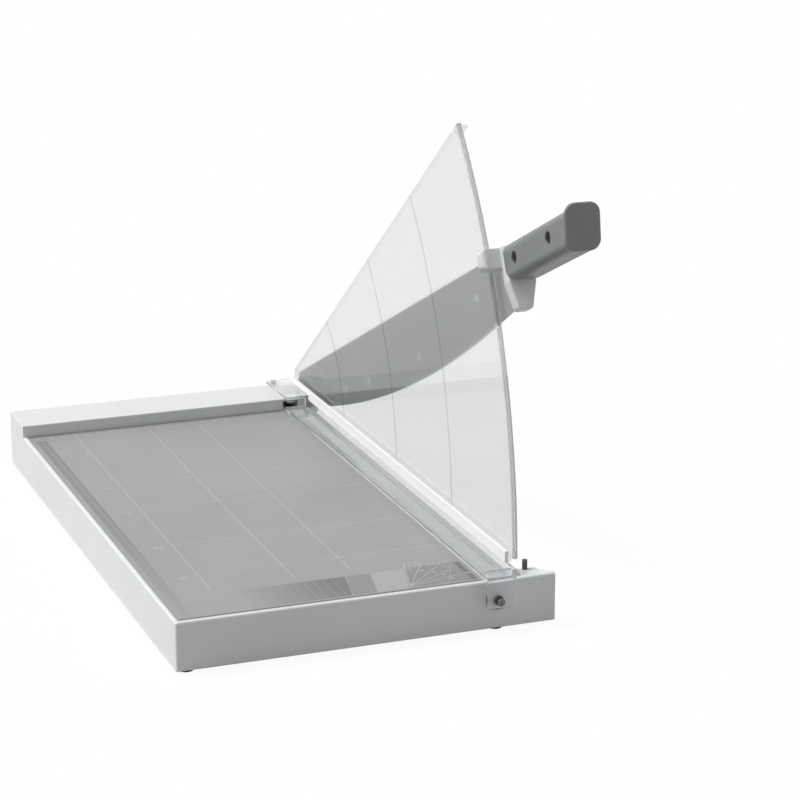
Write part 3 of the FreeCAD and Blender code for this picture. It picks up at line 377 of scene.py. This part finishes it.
# %% Mix the common finishes
finishes = {
    "light_paint": layered_finish(
        "powder_coat", (0.775, 0.785, 0.79), (0.81, 0.815, 0.815), (0.90, 0.90, 0.90),
        patch=0.060, gloss=(0.40, 0.52), speck=0.0006, depth=0.00003, edge=0.0009),
    "light_paint_cast": layered_finish(
        "painted_casting", (0.70, 0.71, 0.72), (0.76, 0.765, 0.77), (0.88, 0.88, 0.88),
        patch=0.025, gloss=(0.36, 0.50), speck=0.0008, depth=0.00004, edge=0.0012),
    "cover_grey": layered_finish(
        "moulded_cover", (0.82, 0.82, 0.82), (0.86, 0.86, 0.855), (0.92, 0.92, 0.92),
        patch=0.040, gloss=(0.45, 0.60), speck=0.0007, depth=0.00004),
    "plain_steel": layered_finish(
        "zinc_plate", (0.50, 0.51, 0.52), (0.60, 0.60, 0.59), (0.78, 0.78, 0.77),
        patch=0.006, gloss=(0.24, 0.40), speck=0.0004, depth=0.00001, edge=0.0003, metal=1.0),
    "dark_steel": layered_finish(
        "blackened_screws", (0.10, 0.102, 0.105), (0.14, 0.14, 0.145), (0.34, 0.34, 0.34),
        patch=0.004, gloss=(0.24, 0.36), speck=0.0004, depth=0.00001, edge=0.0003, metal=0.9),
    "bronze": layered_finish(
        "sintered_bronze", (0.55, 0.37, 0.20), (0.62, 0.44, 0.26), (0.80, 0.62, 0.40),
        patch=0.005, gloss=(0.30, 0.45), speck=0.0003, depth=0.00001, edge=0.0003, metal=1.0),
    "foot_rubber": layered_finish(
        "black_rubber", (0.020, 0.020, 0.021), (0.034, 0.034, 0.035), (0.07, 0.07, 0.07),
        patch=0.006, gloss=(0.55, 0.75), speck=0.0004, depth=0.00004, edge=0.0005),
    "nylon": layered_finish(
        "natural_nylon", (0.78, 0.77, 0.73), (0.84, 0.83, 0.80), (0.90, 0.90, 0.88),
        patch=0.010, gloss=(0.35, 0.48), speck=0.0005, depth=0.00002, edge=0.0004),
    "grip_plastic": layered_finish(
        "grip_plastic", (0.178, 0.186, 0.193), (0.212, 0.219, 0.225), (0.30, 0.31, 0.32),
        patch=0.020, gloss=(0.38, 0.55), speck=0.0005, depth=0.00006, edge=0.0012),
}
print("common finishes", sorted(finishes))

# %% [markdown]
# ## The printed board
#
# The board is a mid grey plate with a matt lacquer. It isn't one even grey: wide soft clouds and fine
# dust in the lacquer keep it from looking like paper.

# %% Finish the board
finishes["board_grey"] = layered_finish(
    "board_lacquer", (0.318, 0.325, 0.328), (0.352, 0.357, 0.357), (0.46, 0.46, 0.46),
    patch=0.045, gloss=(0.42, 0.58), speck=0.0005, depth=0.00002, edge=0.0004)
print("board lacquer ready")

# %% [markdown]
# ## The knife steel
#
# The knife is ground along its length, which leaves scratches many times longer than wide. Fine noise
# that is drawn out about eighty times along the blade gives them, and the same scratches steer the
# gloss and the bump. The steel is kept satin, because the picture shows an even soft grey.

# %% Finish the knives
arm_lift = math.radians(24.7)
scratch_width = 0.00035
scratch_draw = 0.012
scratch_depth = 0.000008
scratch_gloss = (0.30, 0.44)
scratch_share = 0.22
bright_edge_share = 0.6
scratch_colour = (0.44, 0.44, 0.43)
steel_metal = 0.55
steel_patch = 0.05
steel_edge = 0.0004
steel_colour = (0.30, 0.308, 0.304)
paler_steel = (0.345, 0.35, 0.343)
bright_edge_colour = (0.66, 0.66, 0.65)


def stretched(tree, place, stretch, turn):
    """The coordinates turned, then scaled differently along each axis."""
    turned = tree.nodes.new("ShaderNodeMapping")
    turned.inputs["Rotation"].default_value = turn
    scaled = tree.nodes.new("ShaderNodeMapping")
    scaled.inputs["Scale"].default_value = stretch
    tree.links.new(place, turned.inputs["Vector"])
    tree.links.new(turned.outputs["Vector"], scaled.inputs["Vector"])
    return scaled.outputs["Vector"]


def ground_steel(name, along):
    """Satin steel with fine scratches along one direction, which is turned onto the y axis."""
    finish, tree, shader, place = new_finish(name)
    shader.inputs["Metallic"].default_value = steel_metal
    lengthwise = stretched(tree, place, (1.0, scratch_draw, 1.0), (along, 0.0, 0.0))
    scratches = specks(tree, lengthwise, scratch_width, detail=4.0)
    cloud = specks(tree, place, steel_patch)
    soft_normal, edge_mask = edges(tree, steel_edge)
    colour = between(tree, cloud, steel_colour, paler_steel)
    colour = between(tree, ranged(tree, scratches, 0.0, scratch_share), colour, scratch_colour)
    colour = between(tree, ranged(tree, edge_mask, 0.0, bright_edge_share), colour, bright_edge_colour)
    tree.links.new(colour, shader.inputs["Base Color"])
    tree.links.new(ranged(tree, scratches, *scratch_gloss), shader.inputs["Roughness"])
    tree.links.new(grain(tree, scratches, scratch_depth, soft_normal), shader.inputs["Normal"])
    return finish


finishes["blade_steel"] = ground_steel("ground_steel", arm_lift)
print("knife scratches run", round(math.degrees(arm_lift), 1), "degrees off the level")

# %% [markdown]
# ## The clear plastic
#
# The clamp bar and the guard are moulded from clear plastic a few millimetres thick. Real refraction is
# worth having here, because the bright and dark lines on their edges come from it; on the guard and its
# rim those dark lines are strengthened with painted shade. A ray that only carries light passes straight
# through, faintly dimmed, so the knife behind the guard isn't in a black shadow.

# %% Refract and let pass
plastic_bend = 1.49
plastic_patch = 0.08
plastic_speck = 0.0012
plastic_gloss = (0.015, 0.045)
plastic_depth = 0.0000012
plastic_edge = 0.0007
straight_tint = (0.91, 0.915, 0.915)


def clear_plastic(name, tint, deeper_tint, straight, edge_shade_tint=None):
    """Plastic with drifting tint and gloss. A share of sight, and all lamp light, passes straight through.

    An edge shade tint darkens both the bent and the straight light near sharp edges and grooves: painted
    shade for the dark lines that refraction draws there.
    """
    finish, tree, shader, place = new_finish(name)
    shader.inputs["Transmission Weight"].default_value = 1.0
    shader.inputs["IOR"].default_value = plastic_bend
    cloud = specks(tree, place, plastic_patch, detail=1.0)
    fine = specks(tree, place, plastic_speck, detail=2.0)
    passing = tree.nodes.new("ShaderNodeBsdfTransparent")
    passing.inputs["Color"].default_value = (*straight_tint, 1.0)
    shown_tint = between(tree, cloud, tint, deeper_tint)
    if edge_shade_tint is not None:
        edge_mask = edges(tree, plastic_edge)[1]
        shown_tint = between(tree, edge_mask, shown_tint, edge_shade_tint)
        tree.links.new(between(tree, edge_mask, straight_tint, edge_shade_tint), passing.inputs["Color"])
    tree.links.new(shown_tint, shader.inputs["Base Color"])
    tree.links.new(ranged(tree, fine, *plastic_gloss), shader.inputs["Roughness"])
    tree.links.new(grain(tree, fine, plastic_depth), shader.inputs["Normal"])
    path = tree.nodes.new("ShaderNodeLightPath")
    passing_share = joined(tree, "MAXIMUM", path.outputs["Is Shadow Ray"], straight)
    surface = mixed_shaders(tree, passing_share, shader.outputs["BSDF"], passing.outputs["BSDF"])
    tree.links.new(surface, tree.nodes["Material Output"].inputs["Surface"])
    return finish


# %% Finish the clamp bar, the guard and its rib
finishes["clear_plastic"] = clear_plastic(
    "clear_plastic", (0.90, 0.905, 0.91), (0.86, 0.87, 0.88), 0.12)
# The guard's grey tint is partly the plastic's own and partly a painted reflection of the studio, and its
# edge tint is painted shade along the grooves.
shaded_guard_finish = clear_plastic(
    "guard_panel", (0.85, 0.86, 0.865), (0.81, 0.82, 0.83), 0.75, edge_shade_tint=(0.60, 0.61, 0.61))
# The rib's near-white, set as bright as a white can be, is partly a painted highlight for the light its
# rounded clear edge catches.
finishes["white_plastic"] = layered_finish(
    "white_plastic", (0.95, 0.95, 0.945), (0.97, 0.97, 0.97), (0.98, 0.98, 0.98),
    patch=0.020, gloss=(0.46, 0.52), speck=0.0008, depth=0.000008, edge=0.0006)
# Painted shade: the thick rim's dark tint and near-black edges stand for the dark lines that refraction
# draws in it.
rim_shade_finish = clear_plastic(
    "rim_painted_shade", (0.58, 0.585, 0.59), (0.64, 0.645, 0.65), 0.15, edge_shade_tint=(0.03, 0.032, 0.034))
print("plastics mixed")

# %% [markdown]
# ## Every solid gets its finish
#
# A solid comes from the frame with a plain material that is named after its slot, and a loop swaps it for
# the finish of that name. A few solids differ from others of their slot. The guard is seen almost straight
# through, while its thick rim is tinted dark as painted shade for the dark lines that refraction draws in
# it. The front panel's coat is the top's paint made a little darker and cooler, and its edges are dull
# instead of bright: all of it painted shade for a face that is turned from the light. The arm's buffer is
# a greyer rubber than the feet, and the screw in the clamp's rear plate is bright.

# %% Give every solid its finish
# Painted shade: the front coat is the top's paint made darker and cooler, with edges darker than its face.
front_shaded_coat = layered_finish(
    "front_coat_painted_shade", (0.760, 0.770, 0.782), (0.795, 0.800, 0.808), (0.70, 0.71, 0.715),
    patch=0.060, gloss=(0.40, 0.52), speck=0.0006, depth=0.00003, edge=0.0009)
buffer_finish = layered_finish(
    "buffer_rubber", (0.060, 0.060, 0.061), (0.078, 0.078, 0.079), (0.13, 0.13, 0.13),
    patch=0.006, gloss=(0.50, 0.65), speck=0.0004, depth=0.00004, edge=0.0008)

for piece in nodes.values():
    for material_slot in piece.material_slots:
        material_slot.material = finishes[material_slot.material.name.split(".")[0]]

own_finishes = {
    "blade_guard": shaded_guard_finish,
    "guard_edge_bead": rim_shade_finish,
    "front_panel": front_shaded_coat,
    "arm_buffer": buffer_finish,
    "clamp_screw_rear": finishes["plain_steel"],
}
for node_name, own_finish in own_finishes.items():
    nodes[node_name].material_slots[0].material = own_finish
print("finished nodes", len(nodes), "with a finish of their own", len(own_finishes))

# %% [markdown]
# ## The printed scales
#
# The board carries a measuring print: fields and faint lines along the near edge, lines for the usual
# sheet sizes, and a fan of angles that starts at the near edge. Printed ink could be painted into the
# board's material, but as very thin strips it stays crisp from any distance. A slab is a flat plate with
# four corners, and a strip is the slab between two points. All of them are worked out at once from arrays
# of points.


# %% Turn corners and end points into ink
def slabs(corners, base, height):
    """Flat plates. The four corners of each, listed anticlockwise, are set at the base and at the top."""
    corners = np.asarray(corners, float)
    low = np.concatenate([corners, np.full(corners.shape[:2] + (1,), base)], axis=2)
    high = np.concatenate([corners, np.full(corners.shape[:2] + (1,), base + height)], axis=2)
    points = np.concatenate([low, high], axis=1).reshape(-1, 3)
    one_slab = np.array([
        [3, 2, 1, 0], [4, 5, 6, 7],
        [0, 1, 5, 4], [1, 2, 6, 5], [2, 3, 7, 6], [3, 0, 4, 7]])
    faces = (one_slab[None] + 8 * np.arange(len(corners))[:, None, None]).reshape(-1, 4)
    return points, faces.tolist()


def strips(starts, ends, width, base, height):
    """Flat bars. Each corner is an end point moved sideways by half the width."""
    starts = np.asarray(starts, float)
    ends = np.asarray(ends, float)
    run = ends - starts
    run /= np.linalg.norm(run, axis=1, keepdims=True)
    side = np.column_stack([run[:, 1], -run[:, 0]]) * width / 2
    corners = np.stack([starts + side, ends + side, ends - side, starts - side], axis=1)
    return slabs(corners, base, height)


def rectangle(left, right, near, far):
    """The four corners of an upright field, anticlockwise."""
    return [[left, near], [right, near], [right, far], [left, far]]


# %% Add a piece to the board
def add_piece(name, shape, finish, body):
    """A new mesh piece of points and faces, which rides on a body and takes the finish it is given."""
    points, faces = shape
    mesh = bpy.data.meshes.new(name)
    mesh.from_pydata(points.tolist(), [], faces)
    mesh.materials.append(finish)
    piece = bpy.data.objects.new(name, mesh)
    bpy.context.scene.collection.objects.link(piece)
    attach(piece, body)
    print(name, len(mesh.vertices), "points", len(mesh.polygons), "faces")


def add_print(name, shape, ink):
    """A piece that lies flat on the board."""
    add_piece(name, shape, ink, "base")


# %% [markdown]
# The places of the print are counted from the board's edges and from the near left corner of the housing.
# The photograph shows the near edge and the left margin; the rest carries the usual scales. The greys
# differ only in how dark they are, and one kind grows darker along an axis.

# %% Mix the inks
ink_tint = np.array([0.985, 1.0, 1.005])
ink_shares = (0.96, 1.04, 1.2)
ink_gloss = (0.42, 0.56)
ink_speck = 0.0005
ink_depth = 0.00001
rubbed_grey = (0.44, 0.45, 0.45)
rubbed_patch = 0.012
rubbed_share = 0.08


def flat_ink(name, grey):
    """A matt grey, for ink and for the seam's painted shade, which drifts four per cent either way and is
    paler in specks and at its edges.
    """
    deep, pale, wear_and_edge_shading = [(grey * share * ink_tint).tolist() for share in ink_shares]
    return layered_finish(
        name, deep, pale, wear_and_edge_shading,
        patch=0.030, gloss=ink_gloss, speck=ink_speck, depth=ink_depth, edge=0.0001)


def graded_ink(name, first, last, axis, start, end):
    """A matt grey that goes from the first to the last between two places along an axis."""
    finish, tree, shader, place = new_finish(name)
    apart = tree.nodes.new("ShaderNodeSeparateXYZ")
    share = tree.nodes.new("ShaderNodeMapRange")
    share.inputs["From Min"].default_value = start
    share.inputs["From Max"].default_value = end
    tree.links.new(place, apart.inputs["Vector"])
    tree.links.new(apart.outputs[axis], share.inputs["Value"])
    fine = specks(tree, place, ink_speck, detail=2.0)
    rubbed = ranged(tree, specks(tree, place, rubbed_patch), 0.0, rubbed_share)
    grey = between(tree, share.outputs["Result"], (first, first, first), (last, last, last))
    grey = between(tree, rubbed, grey, rubbed_grey)
    tree.links.new(grey, shader.inputs["Base Color"])
    tree.links.new(ranged(tree, fine, *ink_gloss), shader.inputs["Roughness"])
    tree.links.new(grain(tree, fine, ink_depth), shader.inputs["Normal"])
    return finish


light_ink = flat_ink("light_ink", 0.61)
soft_ink = flat_ink("soft_ink", 0.42)
faint_ink = flat_ink("faint_ink", 0.285)
dark_ink = flat_ink("dark_ink", 0.245)
print("inks mixed")

# %% [markdown]
# The near edge carries fields of different greys. One grows darker to the right and has faint lines, drawn
# here seven millimetres apart. The next fields lean to the right, and the last is the ground of a fan of
# angles. A border between two fields is known by its distance from the corner and its angle.

# %% Measure the printed area
board_low, board_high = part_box("cutting_board")
clamp_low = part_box("clamp_bar")[0]
ink_base = board_high.z
ink_height = 0.00004
line_width = 0.00035
near_from_corner = 0.0095
far_from_corner = 0.0470
left_inset = 0.0030
right_gap = 0.0006
far_inset = 0.0020

print_near = corner.y + near_from_corner
print_far = corner.y + far_from_corner
left_edge = board_low.x + left_inset
right_edge = clamp_low.x - right_gap
far_edge = board_high.y - far_inset
print("print reaches from", round(left_edge, 4), "to", round(right_edge, 4))

# %% Print the near fields
field_height = ink_height / 4
upright = math.radians(90.0)
lean = math.radians(78.5)
fan_lean = math.radians(75.0)
dark_start = 0.060
middle_start = 0.1312
pale_start = 0.1500
fan_ground_start = 0.1735
fan_ground_end = 0.2203
deepened_end = 0.130


def near_x_of(distance, angle, y):
    """Where a leaning border that starts a distance from the corner has got to at a given y."""
    return corner.x + distance + (y - print_near) / math.tan(angle)


def near_field(left, right):
    """A field between two borders, each a distance and an angle, from the near to the far line."""
    ring = [
        [near_x_of(*left, print_near), print_near],
        [near_x_of(*right, print_near), print_near],
        [near_x_of(*right, print_far), print_far],
        [near_x_of(*left, print_far), print_far]]
    return slabs([ring], ink_base, field_height)


borders = [
    (dark_start, upright), (middle_start, lean), (pale_start, lean),
    (fan_ground_start, fan_lean), (fan_ground_end, upright)]
fields = [
    ("board_dark_field", graded_ink(
        "deepening_ink", 0.315, 0.158, "X", corner.x + dark_start, corner.x + deepened_end)),
    ("board_middle_field", flat_ink("middle_ink", 0.260)),
    ("board_light_field", flat_ink("pale_ink", 0.390)),
    ("board_fan_ground", dark_ink)]
for (field_name, field_ink), left, right in zip(fields, borders, borders[1:]):
    add_print(field_name, near_field(left, right), field_ink)

# %% Print the blocks at the end of the fan
block_gap = 0.0004
near_block_end = 0.0225
far_block_start = 0.0255

block_left = corner.x + fan_ground_end + block_gap
block_ends = corner.y + np.array([
    [near_from_corner, near_block_end], [far_block_start, far_from_corner]])
block_rings = [rectangle(block_left, right_edge, near, far) for near, far in block_ends]
add_print("board_end_blocks", slabs(block_rings, ink_base, field_height), flat_ink("deep_ink", 0.17))

# %% Print the faint lines
faint_count = 7
faint_first = 0.0857
faint_step = 0.007
faint_inset = 0.001
faint_width = 0.0005
faint_height = ink_height / 2

faint_x = corner.x + faint_first + faint_step * np.arange(faint_count)
faint_starts = np.column_stack([faint_x, np.full(faint_count, print_near + faint_inset)])
faint_ends = np.column_stack([faint_x, np.full(faint_count, print_far - faint_inset)])
faint_shape = strips(faint_starts, faint_ends, faint_width, ink_base, faint_height)
add_print("board_faint_lines", faint_shape, faint_ink)

# %% Print the slanted lines
slant_starts = np.array([middle_start, pale_start, 0.1525, 0.2035])
slant_angles = np.array([lean, lean, math.radians(65.5), math.radians(67.0)])
slant_height = 0.7 * ink_height

slant_count = len(slant_starts)
slant_low_x = corner.x + slant_starts
slant_high_x = slant_low_x + (print_far - print_near) / np.tan(slant_angles)
slant_low = np.column_stack([slant_low_x, np.full(slant_count, print_near)])
slant_high = np.column_stack([slant_high_x, np.full(slant_count, print_far)])
slant_shape = strips(slant_low, slant_high, line_width, ink_base, slant_height)
add_print("board_slanted_lines", slant_shape, soft_ink)

# %% [markdown]
# The left margin is darker too, and darker still towards the far end, with one paler line in it.

# %% Darken the left margin
ruler_depth = 0.012
margin_from_corner = 0.0118
margin_width = 0.0086
margin_deepens_from = 0.010
margin_deepens_to = 0.210
pale_line_offset = 0.0005
pale_line_width = 0.0014

margin_far = far_edge - ruler_depth
margin_x = corner.x + margin_from_corner
margin_shape = strips(
    [[margin_x, print_near]], [[margin_x, margin_far]], margin_width, ink_base, field_height)
margin_darkening = graded_ink(
    "margin_darkening", 0.320, 0.226, "Y", corner.y + margin_deepens_from, corner.y + margin_deepens_to)
add_print("board_left_margin", margin_shape, margin_darkening)

pale_line_x = margin_x + pale_line_offset
pale_line_shape = strips(
    [[pale_line_x, print_near]], [[pale_line_x, margin_far]], pale_line_width, ink_base, faint_height)
add_print("board_margin_line", pale_line_shape, faint_ink)

# %% [markdown]
# A ruler runs along the foot of the paper stop: millimetre ticks counted from the cut. Long thin lines
# show the usual sheet sizes, measured from the paper stop and from the cut.

# %% Work out the ruler
tick_step = 0.001
first_tick = 25
ticks_left_off = 3
centimetre_tick = 0.0050
half_centimetre_tick = 0.0036
millimetre_tick = 0.0022

cut_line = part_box("fixed_blade")[1].x
tick_number = np.arange(first_tick, int((cut_line - left_edge) / tick_step) - ticks_left_off)
tick_length = np.select(
    [tick_number % 10 == 0, tick_number % 5 == 0], [centimetre_tick, half_centimetre_tick],
    millimetre_tick)
tick_x = cut_line - tick_step * tick_number
tick_starts = np.column_stack([tick_x, np.full(len(tick_x), far_edge)])
tick_ends = tick_starts - np.column_stack([np.zeros(len(tick_x)), tick_length])
print("ticks", len(tick_x))

# %% Work out the sheet sizes
sheet_widths = np.array([0.105, 0.148, 0.210])
sheet_lengths = np.array([0.148, 0.210, 0.297, 0.364])
length_line_inset = 0.018
width_line_gap = 0.010

width_count = len(sheet_widths)
length_count = len(sheet_lengths)
sheet_x = cut_line - sheet_widths
sheet_y = far_edge - sheet_lengths
width_starts = np.column_stack([sheet_x, np.full(width_count, far_edge - ruler_depth)])
width_ends = np.column_stack([sheet_x, np.full(width_count, print_far + width_line_gap)])
length_starts = np.column_stack([np.full(length_count, left_edge + length_line_inset), sheet_y])
length_ends = np.column_stack([np.full(length_count, right_edge), sheet_y])
print("sheet lines", width_count + length_count)

# %% [markdown]
# The fan has a line every fifteen degrees from a point near the edge, and farther out a ring with a short
# tick every five degrees. A ring is a flat band carried round its centre.

# %% Work out the angle fan
fan_right_of_corner = 0.1750
fan_behind_corner = 0.0118
fan_x = corner.x + fan_right_of_corner
fan_y = corner.y + fan_behind_corner


def on_fan(radius, degrees):
    """The point at a radius and an angle from the fan's centre, in the plane of the board."""
    turn = np.radians(degrees)
    return np.column_stack([fan_x + radius * np.cos(turn), fan_y + radius * np.sin(turn)])


def flat_ring(radius, width, start, end, count):
    """A band with a rectangular section, carried along an arc: one row of four points for each angle."""
    turn = np.radians(np.linspace(start, end, count))[:, None]
    section_r = radius + np.array([-0.5, 0.5, 0.5, -0.5]) * width
    section_z = np.array([0.0, 0.0, 1.0, 1.0]) * ink_height + ink_base
    across = fan_x + section_r * np.cos(turn)
    along = fan_y + section_r * np.sin(turn)
    up = np.broadcast_to(section_z, across.shape)
    points = np.stack([across, along, up], axis=-1).reshape(-1, 3)
    i, j = np.meshgrid(np.arange(count - 1), np.arange(4), indexing="ij")
    here = 4 * i + j
    beside = 4 * i + (j + 1) % 4
    sides = np.stack([here, beside, beside + 4, here + 4], axis=-1).reshape(-1, 4)
    last = 4 * (count - 1)
    faces = np.concatenate([sides, [[3, 2, 1, 0]], [[last, last + 1, last + 2, last + 3]]])
    return points, faces.tolist()


# %% Work out the lines of the fan
fan_hub = 0.0006
fan_reach = 0.052
fan_short_reach = 0.044
fan_tick_length = 0.004
ring_start = 32.0
ring_end = 78.0
ring_rows = 41
fan_angles = np.arange(15, 90, 15)
fan_ticks = np.arange(35, 80, 5)

ring_radius = fan_reach - fan_tick_length
fan_starts = on_fan(fan_hub, fan_angles)
fan_ends = on_fan(np.where(fan_angles > ring_start, fan_reach, fan_short_reach), fan_angles)
fan_tick_starts = on_fan(ring_radius, fan_ticks)
fan_tick_ends = on_fan(fan_reach, fan_ticks)
print("fan lines", len(fan_angles), "fan ticks", len(fan_ticks))

# %% Print the scales on the board
line_starts = np.concatenate([width_starts, length_starts, fan_starts])
line_ends = np.concatenate([width_ends, length_ends, fan_ends])
line_shape = strips(line_starts, line_ends, line_width, ink_base, ink_height)
add_print("board_scale_lines", line_shape, light_ink)

tick_width = 0.7 * line_width
short_starts = np.concatenate([tick_starts, fan_tick_starts])
short_ends = np.concatenate([tick_ends, fan_tick_ends])
inside = short_ends[:, 0] < right_edge
tick_shape = strips(short_starts[inside], short_ends[inside], tick_width, ink_base, ink_height)
add_print("board_scale_ticks", tick_shape, light_ink)

ring_shape = flat_ring(ring_radius, 0.8 * line_width, ring_start, ring_end, ring_rows)
add_print("board_angle_ring", ring_shape, light_ink)

# %% [markdown]
# Numbers make a scale readable. Blender's own letters are curves; each number is made a mesh, and its
# points are turned, moved and joined with the rest as arrays, so that the whole set is one piece.


# %% Write numbers as one flat mesh
def number_shape(words, size):
    """The points and faces of one number as high as the ink, centred on the origin."""
    letters = bpy.data.curves.new("number", "FONT")
    letters.body = words
    letters.size = size
    letters.align_x = "CENTER"
    letters.align_y = "CENTER"
    letters.extrude = ink_height / 2
    holder = bpy.data.objects.new("number", letters)
    mesh = bpy.data.meshes.new_from_object(holder)
    points = np.zeros(3 * len(mesh.vertices))
    mesh.vertices.foreach_get("co", points)
    faces = [list(face.vertices) for face in mesh.polygons]
    bpy.data.objects.remove(holder)
    bpy.data.curves.remove(letters)
    bpy.data.meshes.remove(mesh)
    return points.reshape(-1, 3), faces


def flat_numbers(labels, size):
    """Numbers joined into one shape. A point (x, y) goes to its label's place plus the turned (x, y)."""
    all_points = []
    all_faces = []
    count = 0
    for words, x, y, degrees in labels:
        points, faces = number_shape(words, size)
        cosine = math.cos(math.radians(degrees))
        sine = math.sin(math.radians(degrees))
        turned = points[:, :2] @ np.array([[cosine, sine], [-sine, cosine]])
        raised = points[:, 2] + ink_base + ink_height / 2
        all_points.append(np.column_stack([turned + [x, y], raised]))
        all_faces += [[vertex + count for vertex in face] for face in faces]
        count += len(points)
    return np.concatenate(all_points), all_faces


# %% Print the numbers
number_size = 0.0042
angle_number_size = 0.8 * number_size
ruler_number_drop = 0.0078
length_number_drop = 0.0032
length_number_inset = 0.024
angle_number_reach = 0.034
angle_number_before = 5

ruler_numbers = [
    (str(centimetre), cut_line - 0.01 * centimetre, far_edge - ruler_number_drop, 0.0)
    for centimetre in range(3, 24)]
length_numbers = [
    (str(round(1000 * length)), left_edge + length_number_inset,
     far_edge - length - length_number_drop, 0.0)
    for length in sheet_lengths]
number_labels = ruler_numbers + length_numbers
add_print("board_ruler_numbers", flat_numbers(number_labels, number_size), light_ink)

angle_places = on_fan(angle_number_reach, fan_angles - angle_number_before)
angle_labels = [(str(angle), x, y, angle - 90.0) for angle, (x, y) in zip(fan_angles, angle_places)]
add_print("board_angle_numbers", flat_numbers(angle_labels, angle_number_size), light_ink)

# %% [markdown]
# ## The seam round the board
#
# The board is let into the housing, and a thin dark strip lies between it and the bright folded rim:
# partly the real gap, partly painted shade for the step down from the rim, made wide enough to dull the
# rim's near highlight. In the photograph this line separates the two along the near and the left side. A
# second dark line is printed a little farther in along the near edge.

# %% Draw the seam and the near border
# Painted shade: the seam's near-black stands for the gap and the shaded step beside the rim.
seam_shade_finish = flat_ink("board_seam", 0.068)
seam_height = ink_height / 3
seam_inset = 0.00005
seam_end_inset = 0.0002
left_seam_start = 0.001
left_seam_width = 0.0004
near_seam_width = 0.0010

left_seam_x = board_low.x + left_seam_width / 2 + seam_inset
left_seam_shape = strips(
    [[left_seam_x, board_low.y + left_seam_start]], [[left_seam_x, board_high.y - seam_end_inset]],
    left_seam_width, ink_base, seam_height)
add_print("board_seam_shade_left", left_seam_shape, seam_shade_finish)

near_seam_y = board_low.y + near_seam_width / 2 + seam_inset
near_seam_shape = strips(
    [[board_low.x + seam_end_inset, near_seam_y]], [[right_edge, near_seam_y]],
    near_seam_width, ink_base, seam_height)
add_print("board_seam_shade_near", near_seam_shape, seam_shade_finish)

border_from_corner = 0.0063
border_inset = 0.0015
border_width = 0.0020
border_y = corner.y + border_from_corner
border_shape = strips(
    [[board_low.x + border_inset, border_y]], [[right_edge, border_y]],
    border_width, ink_base, seam_height)
add_print("board_border_near", border_shape, flat_ink("border_ink", 0.120))

# %% [markdown]
# Under the clear plate at the far end of the clamp bar lies a thin grey pad, on top of the paper stop. It
# ends before the screw that holds the plate.

# %% Lay the pad under the plate
pad_height = 0.0001
pad_left = corner.x + 0.2296
pad_right = corner.x + 0.2455
pad_near = corner.y + 0.4590
pad_far = corner.y + 0.4892

rail_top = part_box("paper_stop_rail")[1].z
pad_shape = slabs([rectangle(pad_left, pad_right, pad_near, pad_far)], rail_top, pad_height)
add_piece("rear_wear_pad", pad_shape, flat_ink("pad_grey", 0.50), "base")
